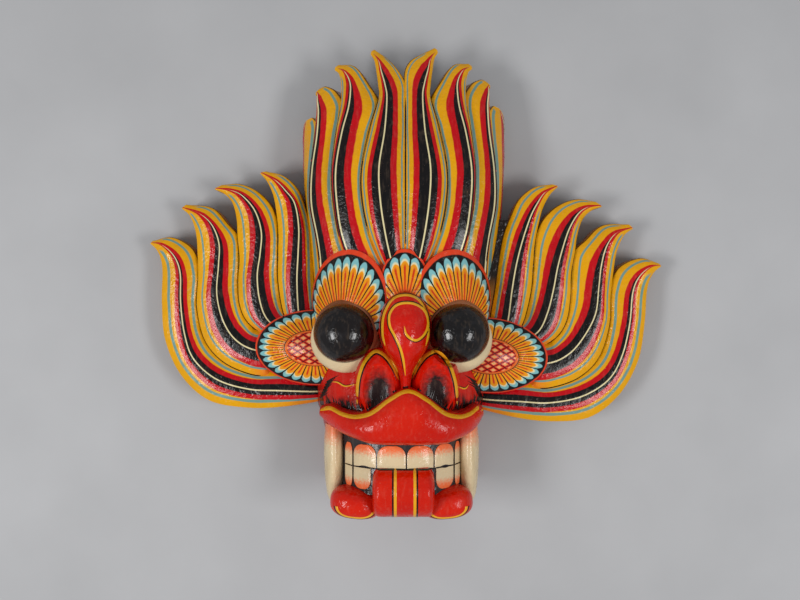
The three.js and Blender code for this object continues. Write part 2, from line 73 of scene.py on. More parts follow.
# Flames of the crown, left half from the middle outwards: [outer edge, crest, inner edge] stations
CROWN_FLAMES = [
    {
        "rise": 1.5, "fuller": 10, "relief": 1, "squeeze": (0.9, 1),
        "stations": [
            [[-16, 5], [-9, 5], [1, 5]],
            [[-28, 34], [-15, 34], [1, 34]],
            [[-34, 62], [-19, 62], [1, 62]],
            [[-34.5, 88], [-20, 88], [1, 88]],
            [[-28, 122], [-16, 118], [1, 116]],
            [[-21.5, 147], [-14.5, 146], [0.8, 146]],
            [[-22, 159], [-16, 158], [0.6, 160]],
            [[-23.5, 170], [-19, 169.5], [-4.5, 171]],
            [[-25.5, 181], [-22, 181], [-14, 182]],
            [[-28.5, 186.5], [-28, 189], [-25.5, 191]],
        ],
    },
    {
        "rise": 1, "fuller": 0, "relief": 1, "squeeze": (0.9, 0.75),
        "stations": [
            [[-44, 5], [-38, 5], [-13, 5]],
            [[-53, 34], [-48, 34], [-25.5, 34]],
            [[-58, 62], [-52.5, 62], [-31.5, 62]],
            [[-59.5, 88], [-53.5, 88], [-32, 88]],
            [[-56.5, 118], [-49.5, 118], [-26, 120]],
            [[-52.5, 143], [-44.5, 141], [-20.5, 142]],
            [[-52.5, 161], [-44, 159.5], [-31, 162]],
            [[-55, 171], [-49.5, 172], [-42, 177]],
            [[-58.5, 174.5], [-58, 177], [-55.5, 179.5]],
        ],
    },
    {
        "rise": 6, "fuller": 0, "relief": 1, "squeeze": (0.95, 0.6),
        "stations": [
            [[-70, -12], [-66, -12], [-49, -12]],
            [[-70, 12], [-66, 12], [-45, 12]],
            [[-73, 34], [-69, 34], [-50.5, 34]],
            [[-78.5, 62], [-74, 62], [-55.5, 62]],
            [[-78.5, 88], [-74, 88], [-57, 88]],
            [[-75, 118], [-70.5, 118], [-54, 118]],
            [[-73, 138], [-69.5, 138], [-50.5, 142]],
            [[-73, 149], [-71.5, 150], [-57.5, 156]],
            [[-73.5, 155], [-72.5, 156], [-66, 161.5]],
            [[-74.5, 154.5], [-74, 157.5], [-70.5, 161.5]],
        ],
    },
    {
        "rise": 10, "fuller": 0, "relief": 0.3, "squeeze": (1, 0.5),
        "stations": [
            [[-91, -34], [-83, -34], [-68, -34]],
            [[-93, 0], [-85, 0], [-69, 0]],
            [[-96, 34], [-88, 34], [-70.5, 34]],
            [[-98.5, 62], [-90, 62], [-76, 62]],
            [[-100, 88], [-91, 88], [-76, 88]],
            [[-100, 112], [-90, 112], [-72.5, 116]],
            [[-96, 124], [-88, 125], [-72, 128]],
            [[-90, 131], [-85, 132], [-76, 134]],
            [[-86, 134], [-83.5, 135.5], [-78.5, 136.5]],
        ],
    },
]
CROWN_RIGHT_WIDTH = 0.955
CROWN_RISE_FROM = 60
CROWN_FULLER_FROM = 140
CROWN_THICKNESS = 15

# Flames of a wing, left one from the outermost inwards
WING_FLAMES = [
    [
        [[-60, -101], [-60, -95], [-60, -84]],
        [[-104, -108], [-104, -94], [-104, -78]],
        [[-136, -109], [-132, -93], [-128, -78]],
        [[-168, -103], [-160, -85], [-150, -70]],
        [[-192, -82], [-180, -68], [-165, -59]],
        [[-206, -52], [-188, -47], [-174, -44]],
        [[-209, -20], [-191.5, -20], [-177, -20]],
        [[-208.5, 6], [-192, 6], [-175.5, 6]],
        [[-210, 18], [-198, 21], [-182, 26]],
        [[-214, 26], [-209, 30], [-200, 36.5]],
        [[-219.5, 31], [-219, 32], [-217.5, 33.5]],
    ],
    [
        [[-112, -82], [-108, -62], [-108, -44]],
        [[-132, -80], [-130, -59], [-126, -43]],
        [[-155, -70], [-145, -50], [-133, -36]],
        [[-171, -52], [-155, -34], [-138.5, -24]],
        [[-178, -24], [-160, -12], [-141, -4]],
        [[-177, 2], [-158.5, 12], [-140, 18]],
        [[-177.5, 22], [-158, 30], [-141.5, 36]],
        [[-179, 40], [-164, 46], [-151, 47]],
        [[-184, 54], [-175, 56], [-165, 61.5]],
        [[-191.5, 61], [-191, 62], [-188, 64.5]],
    ],
    [
        [[-116, -50], [-104, -44], [-94, -36]],
        [[-133, -37], [-117, -33], [-102, -26]],
        [[-140.5, -22], [-123, -17], [-105, -14]],
        [[-142, -2], [-125, 3], [-106.5, 6]],
        [[-141, 18], [-122.5, 22], [-106, 24]],
        [[-142.5, 36], [-121.5, 40], [-106.5, 42]],
        [[-143.5, 52], [-127, 58], [-112, 60]],
        [[-147, 65], [-138, 71], [-124, 74]],
        [[-154, 73], [-149, 76], [-140, 81.5]],
        [[-162.5, 77], [-162, 78], [-157, 81]],
    ],
    [
        [[-98, -40], [-88, -40], [-74, -40]],
        [[-104, -24], [-90, -24], [-75, -24]],
        [[-107.5, 0], [-91, 0], [-77, 0]],
        [[-107.5, 22], [-90, 22], [-78, 22]],
        [[-107.5, 42], [-89.5, 44], [-80, 44]],
        [[-109.5, 60], [-93, 64], [-85, 62]],
        [[-112, 72], [-101, 75], [-91, 77]],
        [[-117, 83], [-110, 84], [-103, 88]],
        [[-123, 90], [-122.5, 91], [-118, 92]],
    ],
]
FLAME_BULGE = 5.5
FLAME_OUTER_LIP = 1.5
FLAME_INNER_DROP = 2.5
FLAME_FULL_WIDTH = 26
FLAME_ROOT_SHARE = 0.05
FLAME_ROOT_DEPTH = 6
OUTERMOST_SQUEEZE = (0.65, 0.8)
WING_SQUEEZE = (0.95, 0.9)
CROWN_GROOVE = (0.12, 0.62)
WING_GROOVE = (0.06, 0.62)

# Wing board
WING_ROOT_X = 75
WING_FRONT_AT_ROOT = 34
WING_FRONT_SLOPE = 0.1
WING_BACK_AT_ROOT = 14
WING_BACK_SLOPE = 0.08
WING_CLEARANCE = 0.3
RIGHT_WING_TURN = math.radians(-5)
RIGHT_WING_SHIFT = (-5.6, -6.6)
CREST_LEANS = (0.2, 0.4, 0.5, 0.5)
CREST_LEAN_FROM = 0.3
WING_BOARD_OUTLINE = [
    [-60, -98], [-104, -104], [-136, -105], [-165, -99], [-188, -79], [-202, -50], [-205, -20],
    [-202, 2], [-188, 12], [-174, 12], [-158, 27], [-142, 28], [-124, 46], [-107, 46], [-92, 58], [-60, 58],
]

# Carved fans: an oval base, a peak shifted along y, and heights above the surface that carries them
ROSETTE = {
    "x": -74, "y": -57, "half_width": 52, "half_height": 31.5, "peak_y": 0, "base": -14, "rim": 8, "top": 22,
}
ROSETTE_HEART = {
    "x": -74, "y": -57, "half_width": 26, "half_height": 15, "peak_y": 0, "base": 10, "rim": 20, "top": 24,
}
BROW_FAN = {
    "x": 40.5, "y": -18, "half_width": 30.5, "half_height": 41, "peak_y": -24,
    "base": -14, "rim": 5, "top": 14,
}
MIDDLE_FAN = {
    "x": -0.5, "y": -3, "half_width": 18.5, "half_height": 26, "peak_y": -22, "base": -14, "rim": 3, "top": 9,
}
BROW_PETALS = 24
MIDDLE_PETALS = 11
ROSETTE_PETALS = 32
HEART_CELL = (9.5, 5.5)
PETAL_BOW = 0.42
FRACT_START = 64  # a whole number that keeps counted petals and cells above 0

# Eyes
EYE = {"x": 45.5, "y": -43.8, "z": 77, "radius": 24.5, "flat": 0.97}
EYE_SOCKET = 27.2
EYE_SOCKET_LIFT = 15
EYE_RIM = {"x": 43.5, "y": -42.6, "z": 70.5, "half_width": 27, "half_height": 26.3, "depth": 21}
LID = {"x": 44.5, "y": -49, "z": 70, "half_width": 28.5, "half_height": 27, "depth": 14}

# Nose: rows of [y, half width, height of the ridge]
NOSE_X = 0
NOSE_BASE = 68
NOSE_ROWS = [
    [-10.5, 2, 92], [-13, 9, 97], [-19, 16, 103], [-30, 20.5, 110], [-44, 21, 112.7], [-56, 17.5, 111],
    [-66, 11, 105], [-77, 6, 98], [-92, 4, 94],
]
NOSTRIL_AXIS = 1.5
NOSTRIL = {"x": 22.2, "y": -84, "z": 74, "half_width": 20, "half_height": 29, "depth": 24}
NOSTRIL_HOLE = {"x": 22.2, "y": -92, "z": 100, "half_width": 15.5, "half_height": 29, "depth": 13}

# Upper lip: rows of [distance from the axis, y of the upper edge, y of the lower edge, height]
LIP_ROWS = [
    [0, -85, -129.5, 112], [14, -91.5, -129.5, 111], [28, -102, -129, 108], [40, -105.5, -126, 102],
    [50, -104.5, -123, 93], [59, -101.5, -119, 80], [66.5, -105, -113, 64],
]
LIP_ROOT = 18
LIP_LEAN = 5

# Teeth, tusks, tongue and lower lip
TEETH_FRONT = 92
TEETH_EDGE = 40
TEETH_BACK = 20
TEETH_HALF_WIDTH = 52
TEETH_TOP = -120
UPPER_GUM = -131
BITE_LINE = -149
LOWER_GUM = -166
TEETH_BOTTOM = -170
TOOTH_RELIEF = 1.2
TOOTH_OUTLINE = [[-1, 0], [-1, 0.6], [-0.75, 0.88], [-0.3, 1], [0.3, 1], [0.75, 0.88], [1, 0.6], [1, 0]]
TOOTH_STEPS = [[-5, 1], [0.55, 1], [0.9, 0.94], [1.15, 0.6]]  # rise in reliefs, and size
TOOTH_GAP = 1.2
BITE_GAP = 0.4
UPPER_TEETH = [[-49, -41.5], [-41.5, -22.5], [-22.5, 0.8], [0.8, 22.5], [22.5, 39], [39, 45]]
LOWER_TEETH = [[-49, -41.5], [-41.5, -26.5], [23.5, 39], [39, 45]]
TUSK = {"x": 54.5, "z": 48, "top": -118, "bottom": -180, "half_width": 9.5, "half_depth": 24}
TUSK_ROWS = [[0, 0.86, 0.92], [0.3, 1, 1], [0.65, 0.94, 0.95], [0.9, 0.78, 0.82], [1, 0.6, 0.7]]
TONGUE_X = -1.5
TONGUE_HALF_WIDTH = 24
TONGUE_MIDDLE = (-174, 78)
TONGUE_PROFILE = [
    [-146, 72], [-148, 90], [-152, 99], [-159, 104.5], [-168, 106],
    [-178, 102], [-185, 94], [-187, 84], [-180, 70],
]
LOWER_LIP = {
    "x": 36, "y": -178.5, "z": 73, "half_width": 21, "half_height": 13.1, "depth": 19,
    "turn": 0.1, "square": 0.78,
}

# Brush lines: the shares of the half width that have a point, and distances in mm
BRUSH_ROW = (-1, -0.5, 0, 0.5, 1)
BRUSH_STEP = 0.7
BRUSH_LIFT = 0.18
BAND_LIFT = 0.2
INK_LIFT = 0.1
EDGE_TUCK = -0.05
FINEST_HALF_WIDTH = 0.08
LARGEST_STEP = 6
LOOK_DOWN_FROM = 0.3  # metres
SPIKES = 26
CHEEK_SPIKES = 7

# Painted lines, in plan
CROWN_PARTING = [[0.2, 27], [0.2, 60], [0.2, 100], [0.4, 148]]
NOSE_RIM = [[0, -13.6], [7.5, -15.3], [12.8, -20.5], [17.2, -31], [17.7, -44], [15.7, -53]]
NOSE_CURL = [
    [-1, -37], [1, -44], [8, -48], [15, -43], [17.5, -34], [14, -25], [5, -20], [-6, -21], [-12, -28],
    [-12, -37], [-8, -45], [-4, -54], [-1.5, -64], [0, -76],
]
LEFT_ARCH = [
    [-38.5, -101], [-38, -90], [-36.5, -78], [-32, -66], [-24, -58], [-16, -61], [-9, -70], [-5, -80],
]
RIGHT_ARCH = [
    [5, -80], [9, -70], [17, -60.5], [26, -58.5], [34, -67], [38.5, -79], [40.5, -90], [42, -102],
]
LEFT_CHEEK_WAVE = [[-60, -84.5], [-55, -84.5], [-49, -87], [-43, -86], [-38, -83.5]]
RIGHT_CHEEK_WAVE = [[41, -85], [45, -88.5], [49, -89.5], [52, -87]]

# Camera and light; lamps and table in metres
MM_PER_PIXEL = 0.886
CAMERA_HEIGHT = 750
CAMERA_AIM = (-4.2, -17.5)
SENSOR = 36
FRAME_WIDTH = 800
SOFTBOX_SIZE = (0.5, 0.28)
SOFTBOXES = {"softbox_left": ((-0.85, -0.24, 1.0), 8.5), "softbox_right": ((0.78, -0.26, 1.02), 7.0)}
SURROUND_COLOUR = (0.95, 0.97, 1.0, 1)
SURROUND_STRENGTH = 0.43
TABLE_SIZE = 4

# Steps that the curves are cut into
FLAME_ROWS = 72
FLAME_ACROSS = 25
BLOCK_ROWS = 130
BLOCK_RING = 72
DOME_RINGS = 22
DOME_STEPS = 112
BALL_STEPS = 96
NOSE_ROW_COUNT = 70
NOSE_RING = 56
LIP_ROW_COUNT = 120
LIP_RING = 44
TEETH_ROW_COUNT = 24
TEETH_ACROSS = 65
TOOTH_RING = 40
TUSK_ROW_COUNT = 48
TUSK_RING = 56
TONGUE_ROW_COUNT = 41
TONGUE_RING = 64
HOLLOW_ROWS = 60

# Edges sharper than this many degrees stay crisp
SHARP_ANGLE = 38


def srgb(*values):
    """Linear colour from a colour as it looks on screen."""
    linear = [v / 12.92 if v <= 0.04045 else ((v + 0.055) / 1.055) ** 2.4 for v in values]
    return (*linear, 1)


YELLOW = srgb(0.86, 0.61, 0.0)
OCHRE = srgb(0.70, 0.45, 0.07)
ORANGE = srgb(0.90, 0.42, 0.12)
CRIMSON = srgb(0.72, 0.0, 0.06)
VERMILION = srgb(0.82, 0.09, 0.0)
DEEP_RED = srgb(0.62, 0.07, 0.04)
BLACK = srgb(0.03, 0.03, 0.035)
CREAM_LINE = srgb(0.86, 0.81, 0.62)
GOLD_LINE = srgb(0.90, 0.66, 0.16)
BLUE_GREY = srgb(0.43, 0.57, 0.54)
PETAL_BLUE = srgb(0.48, 0.71, 0.72)
PETAL_CREAM = srgb(0.86, 0.83, 0.66)
PETAL_ORANGE = srgb(0.90, 0.58, 0.05)
BONE = srgb(0.83, 0.75, 0.60)
# Brown painted shade, for the lid and the socket under the brow
PAINTED_SHADE_BROWN = srgb(0.66, 0.44, 0.31)
GUM_ORANGE = srgb(0.92, 0.38, 0.15)
TOOTH_GROUND = srgb(0.20, 0.19, 0.20)
WOOD = srgb(0.55, 0.40, 0.27)
WOOD_DARK = srgb(0.36, 0.24, 0.15)


class Paint:
    """A material whose colour is worked out from the plan attribute by small node sums."""

    def __init__(self, name):
        self.material = bpy.data.materials.new(name)
        self.material.use_nodes = True
        self.tree = self.material.node_tree
        self.shader = self.tree.nodes["Principled BSDF"]
        place = self.tree.nodes.new("ShaderNodeAttribute")
        place.attribute_name = "plan"
        split = self.tree.nodes.new("ShaderNodeSeparateXYZ")
        self.tree.links.new(place.outputs["Vector"], split.inputs[0])
        self.plan = [split.outputs[n] for n in range(3)]
        self.where = self.tree.nodes.new("ShaderNodeTexCoord").outputs["Object"]

    def feed(self, socket, value):
        if isinstance(value, bpy.types.NodeSocket):
            self.tree.links.new(value, socket)
        else:
            socket.default_value = value

    def calc(self, operation, *values):
        node = self.tree.nodes.new("ShaderNodeMath")
        node.operation = operation
        for socket, value in zip(node.inputs, values):
            self.feed(socket, value)
        return node.outputs[0]

    def times(self, first, second):
        return self.calc("MULTIPLY", first, second)

    def plus(self, first, second):
        return self.calc("ADD", first, second)

    def distance(self, value, middle):
        return self.calc("ABSOLUTE", self.calc("SUBTRACT", value, middle))

    def radius(self, x, y):
        return self.calc("SQRT", self.plus(self.times(x, x), self.times(y, y)))

    def mask(self, value, low, high):
        """0 below low and 1 above high, or the other way round if low is the larger."""
        node = self.tree.nodes.new("ShaderNodeMapRange")
        for socket, given in zip(node.inputs, (value, low, high, 0.0, 1.0)):
            self.feed(socket, given)
        return node.outputs[0]

    def under(self, value, edge, soft):
        """1 where value is less than edge, with a soft step."""
        return self.mask(self.calc("SUBTRACT", value, edge), soft, -soft)

    def noise(self, scale, detail=3.0, stretch=None):
        node = self.tree.nodes.new("ShaderNodeTexNoise")
        node.inputs["Scale"].default_value = scale
        node.inputs["Detail"].default_value = detail
        place = self.where
        if stretch:
            mapping = self.tree.nodes.new("ShaderNodeMapping")
            mapping.inputs["Scale"].default_value = stretch
            self.tree.links.new(place, mapping.inputs["Vector"])
            place = mapping.outputs[0]
        self.tree.links.new(place, node.inputs["Vector"])
        return node.outputs[0]

    def mix(self, share, first, second):
        node = self.tree.nodes.new("ShaderNodeMix")
        node.data_type = "RGBA"
        self.feed(node.inputs[0], share)
        self.feed(node.inputs[6], first)
        self.feed(node.inputs[7], second)
        return node.outputs[2]

    def ramp(self, value, stops):
        """A value read from stops of (position, value)."""
        node = self.tree.nodes.new("ShaderNodeValToRGB")
        points = node.color_ramp.elements
        while len(points) < len(stops):
            points.new(0.5)
        for point, (position, level) in zip(points, stops):
            point.position = position
            point.color = (level, level, level, 1)
        self.tree.links.new(value, node.inputs[0])
        return self.calc("MULTIPLY", node.outputs[0], 1.0)

    def wobbly(self, value, amount, scale=160):
        """The value with a brush's unsteadiness added."""
        shake = self.calc("SUBTRACT", self.noise(scale, 2.0), 0.5)
        return self.plus(value, self.times(shake, 2 * amount))

    def sponged(self, value, scale, amount):
        """The value with a sponge's coarse grain added."""
        grain = self.calc("SUBTRACT", self.noise(scale, 4.0), 0.5)
        return self.plus(value, self.times(grain, amount))

    def blotched(self, base, other, scale=30):
        """Two colours in soft blotches."""
        return self.mix(self.mask(self.noise(scale, 4.0), 0.35, 0.75), base, other)

    def finish(self, colour, rough=(0.14, 0.34), coat=0.16, bump=0.5, wear=0.5):
        """Lacquer over brushed paint, with uneven colour, worn specks and a hand-carved surface."""
        uneven = self.mask(self.noise(38, 4.0), 0.3, 0.75)
        shaded = self.mix(self.times(uneven, 0.12), colour, srgb(0.18, 0.05, 0.02))
        streak = self.mask(self.noise(420, 3.0, (1.0, 0.22, 1.0)), 0.52, 0.78)
        shaded = self.mix(self.times(streak, 0.04), shaded, srgb(0.95, 0.80, 0.66))
        worn = self.mask(self.noise(900, 5.0), 0.70, 0.76)
        shaded = self.mix(self.times(worn, wear), shaded, srgb(0.80, 0.62, 0.48))
        self.tree.links.new(shaded, self.shader.inputs["Base Color"])
        gloss = self.mask(self.noise(150, 5.0), 0.4, 0.62)
        span = self.calc("MULTIPLY_ADD", gloss, rough[1] - rough[0], rough[0])
        self.tree.links.new(span, self.shader.inputs["Roughness"])
        self.shader.inputs["Specular IOR Level"].default_value = 0.18
        self.shader.inputs["Coat Weight"].default_value = coat
        self.shader.inputs["Coat Roughness"].default_value = 0.1
        carving = self.plus(self.noise(95, 3.0), self.times(self.noise(380, 3.0), 0.28))
        node = self.tree.nodes.new("ShaderNodeBump")
        node.inputs["Strength"].default_value = bump
        node.inputs["Distance"].default_value = 0.0024
        self.tree.links.new(carving, node.inputs["Height"])
        self.tree.links.new(node.outputs[0], self.shader.inputs["Normal"])
        return self.material


def flame_paint(name, black_stops, red_stops, blue_at, blue_width):
    """Stripes beside a cream crest line: black, red, yellow with a blue-grey line, and an ochre side."""
    paint = Paint(name)
    side, along, distance = paint.plan
    share = paint.calc("ABSOLUTE", side)
    reach = paint.calc("DIVIDE", distance, paint.calc("MAXIMUM", share, 0.02))
    ragged = paint.wobbly(share, 0.022)
    body = paint.mix(paint.mask(along, 0.12, 0.0), YELLOW, ORANGE)
    bend = paint.wobbly(share, 0.03, 45)
    off_blue = paint.times(paint.distance(bend, blue_at), reach)
    blue = paint.times(paint.under(off_blue, blue_width, 0.12), paint.mask(reach, 6.5, 8.0))
    blue = paint.times(blue, paint.mask(along, 0.97, 0.93))
    colour = paint.mix(blue, body, BLUE_GREY)
    colour = paint.mix(paint.under(ragged, paint.ramp(along, red_stops), 0.012), colour, CRIMSON)
    colour = paint.mix(paint.under(ragged, paint.ramp(along, black_stops), 0.012), colour, BLACK)
    line_width = paint.ramp(along, [(0.0, 0.58), (0.75, 0.5), (0.86, 0.25), (0.9, 0.0)])
    colour = paint.mix(paint.under(distance, line_width, 0.1), colour, CREAM_LINE)
    groove = paint.under(paint.distance(side, 1.0), 0.04, 0.015)
    colour = paint.mix(paint.times(groove, 0.9), colour, srgb(0.16, 0.09, 0.03))
    colour = paint.mix(paint.mask(ragged, 1.04, 1.08), colour, OCHRE)
    return paint.finish(colour)


def petal_paint(name, count, tip, ground_edge, heart_red):
    """Rounded petals round a fan: blue tips, cream shoulders, orange bodies with a red streak."""
    paint = Paint(name)
    across, up, _ = paint.plan
    radius = paint.wobbly(paint.radius(across, up), 0.012, 120)
    turn = paint.times(paint.calc("ARCTAN2", up, across), count / (2 * math.pi))
    cell = paint.calc("SUBTRACT", paint.calc("FRACT", paint.plus(turn, FRACT_START + 0.5 - count / 4)), 0.5)
    off = paint.calc("ABSOLUTE", paint.wobbly(cell, 0.05, 200))
    level = paint.plus(radius, paint.times(paint.times(off, off), PETAL_BOW))
    body = paint.mix(paint.mask(radius, 0.55, 0.3), PETAL_ORANGE, ORANGE)
    body = paint.mix(paint.mask(radius, 0.38, 0.22), body, heart_red)
    streak = paint.times(paint.under(off, 0.12, 0.04), paint.mask(radius, 0.77, 0.70))
    colour = paint.mix(streak, body, srgb(0.78, 0.20, 0.05))
    colour = paint.mix(paint.mask(level, tip - 0.115, tip - 0.1), colour, PETAL_CREAM)
    colour = paint.mix(paint.mask(level, tip - 0.085, tip - 0.055), colour, PETAL_BLUE)
    gap = paint.times(paint.mask(off, 0.395, 0.44), paint.mask(radius, 0.25, 0.4))
    gap = paint.calc("MAXIMUM", gap, paint.mask(level, tip, tip + 0.015))
    colour = paint.mix(gap, colour, BLACK)
    colour = paint.mix(paint.mask(radius, ground_edge, ground_edge + 0.012), colour, srgb(0.84, 0.24, 0.10))
    return paint.finish(colour)


def heart_paint():
    """Red oval crossed by dark lines, with cream dabs between them."""
    paint = Paint("rosette_heart_paint")
    across, up, _ = paint.plan
    radius = paint.radius(across, up)
    x = paint.times(across, ROSETTE_HEART["half_width"] / HEART_CELL[0])
    y = paint.times(up, ROSETTE_HEART["half_height"] / HEART_CELL[1])
    lattice = []
    for sign in (1.0, -1.0):
        run = paint.plus(paint.calc("MULTIPLY_ADD", y, sign, x), FRACT_START)
        lattice.append(paint.distance(paint.calc("FRACT", paint.wobbly(run, 0.06)), 0.5))
    near = paint.calc("MAXIMUM", lattice[0], lattice[1])
    colour = paint.mix(paint.under(near, 0.26, 0.06), VERMILION, srgb(0.90, 0.66, 0.40))
    colour = paint.mix(paint.mask(near, 0.42, 0.45), colour, srgb(0.16, 0.04, 0.03))
    colour = paint.mix(paint.mask(radius, 0.88, 0.9), colour, srgb(0.86, 0.40, 0.12))
    colour = paint.mix(paint.mask(radius, 0.965, 0.98), colour, BLACK)
    return paint.finish(colour)


def skin_paint():
    """The red face, sooty in the corners below the cheeks, orange-red towards the crown, and deeper red low
    down near the mouth.
    """
    paint = Paint("face_red")
    x, y, _ = paint.plan
    colour = paint.blotched(VERMILION, srgb(0.70, 0.09, 0.04), 28)
    corner = paint.times(paint.mask(paint.distance(x, FACE_AXIS), 50, 66), paint.mask(y, -86, -100))
    low = paint.mask(paint.wobbly(y, 7, 90), -93, -101)
    soot = paint.calc("MAXIMUM", corner, low)
    soot = paint.times(soot, paint.mask(y, -114, -109))
    soot = paint.times(soot, paint.mask(paint.noise(260, 3.0, (1.0, 0.4, 1.0)), 0.30, 0.55))
    colour = paint.mix(soot, colour, srgb(0.12, 0.03, 0.02))
    colour = paint.mix(paint.mask(y, -108, -120), colour, DEEP_RED)
    colour = paint.mix(paint.mask(y, -16, -4), colour, srgb(0.84, 0.27, 0.11))
    return paint.finish(colour)


def plain_paint(name, base, other, **finish):
    paint = Paint(name)
    return paint.finish(paint.blotched(base, other), **finish)


def wing_ground_and_gap_shadow_paint():
    """Ochre between the flames, and dark painted shadow in the gap beside the head."""
    paint = Paint("wing_groove")
    x, y, _ = paint.plan
    # painted shadow: dark brown in the gap between the head and the wing
    gap = paint.times(paint.mask(x, -112, -100), paint.mask(y, -10, 10))
    return paint.finish(paint.mix(gap, paint.blotched(OCHRE, srgb(0.40, 0.22, 0.05)), srgb(0.10, 0.07, 0.05)))


def nostril_paint():
    """Red at the rim, sooty black deep inside."""
    paint = Paint("nostril_soot")
    x, y, _ = paint.plan
    inside = paint.mask(paint.wobbly(paint.radius(x, y), 0.22, 330), 0.86, 0.42)
    colour = paint.mix(inside, VERMILION, srgb(0.10, 0.03, 0.03))
    return paint.finish(colour, coat=0.1, rough=(0.45, 0.6))


def lid_paint():
    """Bone below the eye and a brown rim of painted shade above it, under the brow."""
    paint = Paint("lid_bone")
    x, y, _ = paint.plan
    inner = paint.calc("MULTIPLY_ADD", x, 0.8, paint.wobbly(y, 0.06, 60))
    # brown painted shade on the upper inner side of the lid, where the brow overhangs it
    colour = paint.mix(paint.mask(inner, -0.12, 0.06), BONE, PAINTED_SHADE_BROWN)
    return paint.finish(colour)


def tooth_paint():
    """Bone, with orange sponged on at the gum."""
    paint = Paint("tooth_bone")
    _, root, _ = paint.plan
    gum = paint.mask(paint.sponged(root, 700, 0.55), 0.48, 0.82)
    return paint.finish(paint.mix(paint.times(gum, 0.9), BONE, GUM_ORANGE))


def tusk_paint():
    """Bone with a grain along the tusk, and orange sponged on below the lip."""
    paint = Paint("tusk_bone")
    _, share, _ = paint.plan
    gum = paint.mask(paint.sponged(share, 500, 0.25), 0.3, 0.06)
    colour = paint.mix(paint.times(gum, 0.8), BONE, GUM_ORANGE)
    grain = paint.mask(paint.noise(320, 3.0, (1.0, 0.15, 1.0)), 0.45, 0.7)
    colour = paint.mix(paint.times(grain, 0.3), colour, srgb(0.62, 0.50, 0.34))
    return paint.finish(colour)


def wood_paint():
    """Bare stained wood of the back, with grain along the log."""
    paint = Paint("bare_wood")
    grain = paint.mask(paint.noise(170, 6.0, (1.0, 0.07, 1.0)), 0.3, 0.7)
    colour = paint.mix(grain, WOOD, WOOD_DARK)
    return paint.finish(colour, rough=(0.5, 0.7), coat=0.0, bump=0.5, wear=0.0)


def socket_paint():
    """Brown painted shade round the eye, and red where the socket's edge runs into the nostril."""
    paint = Paint("socket_brown")
    _, y, _ = paint.plan
    # the brown stands for the shade round the eye: painted shade, with darker blotches of random tone
    brown = paint.blotched(PAINTED_SHADE_BROWN, srgb(0.46, 0.27, 0.17))
    return paint.finish(paint.mix(paint.mask(y, -0.5, -0.56), brown, VERMILION))


def eye_paint():
    """Glossy black with a little grey in it, mottled as a painted reflection."""
    paint = Paint("eye_black")
    # mottled bluish-grey patches: painted reflection on the glossy black
    grey = paint.mask(paint.noise(170, 4.0), 0.5, 0.75)
    colour = paint.mix(grey, srgb(0.02, 0.02, 0.025), srgb(0.09, 0.09, 0.10))
    return paint.finish(colour, rough=(0.12, 0.3), coat=0.4, bump=0.5, wear=0.02)


def ring_slots(*runs):
    """Material numbers round a loft, from (how many faces, which material)."""
    return [number for count, number in runs for _ in range(count)]


def joined(*values):
    """Points from separate coordinates, with a single number spread over all of them."""
    return np.stack(np.broadcast_arrays(*values), axis=-1)


def smooth(rows, at):
    """A smooth curve through rows of [position, value], read at one position or many."""
    table = np.asarray(rows, float)
    x, y = table[:, 0], table[:, 1]
    order = np.arange(len(x))
    before, after = np.maximum(order - 1, 0), np.minimum(order + 1, len(x) - 1)
    slope = (y[after] - y[before]) / (x[after] - x[before])
    at = np.clip(np.asarray(at, float), x[0], x[-1])
    i = np.clip(np.searchsorted(x, at) - 1, 0, len(x) - 2)
    span = x[i + 1] - x[i]
    t = (at - x[i]) / span
    return (
        y[i] * (1 + 2 * t) * (1 - t) ** 2
        + slope[i] * span * t * (1 - t) ** 2
        + y[i + 1] * t * t * (3 - 2 * t)
        + slope[i + 1] * span * t * t * (t - 1)
    )


def curve(points, count):
    """Points spread along a smooth curve through the given ones."""
    given = np.asarray(points, float)
    padded = np.vstack([2 * given[0] - given[1], given, 2 * given[-1] - given[-2]])
    at = np.linspace(0, len(given) - 1, count)
    i = np.minimum(at.astype(int), len(given) - 2)
    t = (at - i)[:, None]
    a, b, c, d = padded[i], padded[i + 1], padded[i + 2], padded[i + 3]
    return (
        b * (2 * t**3 - 3 * t**2 + 1)
        + (c - a) / 2 * (t**3 - 2 * t**2 + t)
        + c * (3 * t**2 - 2 * t**3)
        + (d - b) / 2 * (t**3 - t**2)
    )


def mesh_of(name, points, faces, plan, slots, materials):
    """A closed mesh in metres that carries its plan attribute and faces outwards."""
    mesh = bpy.data.meshes.new(name)
    mesh.from_pydata((np.asarray(points) * MM).tolist(), [], faces)
    for material in materials:
        mesh.materials.append(material)
    mesh.polygons.foreach_set("material_index", np.asarray(slots, np.int32))
    corners = np.empty(len(mesh.loops), np.int32)
    mesh.loops.foreach_get("vertex_index", corners)
    layer = mesh.attributes.new("plan", "FLOAT_VECTOR", "CORNER")
    layer.data.foreach_set("vector", np.asarray(plan, np.float32)[corners].ravel())
    mesh.calc_loop_triangles()
    triangles = np.empty(len(mesh.loop_triangles) * 3, np.int32)
    mesh.loop_triangles.foreach_get("vertices", triangles)
    a, b, c = (np.asarray(points)[triangles[n::3]] for n in range(3))
    if np.einsum("ij,ij->i", a, np.cross(b, c)).sum() < 0:
        mesh.flip_normals()
    made = bpy.data.objects.new(name, mesh)
    bpy.context.scene.collection.objects.link(made)
    return made


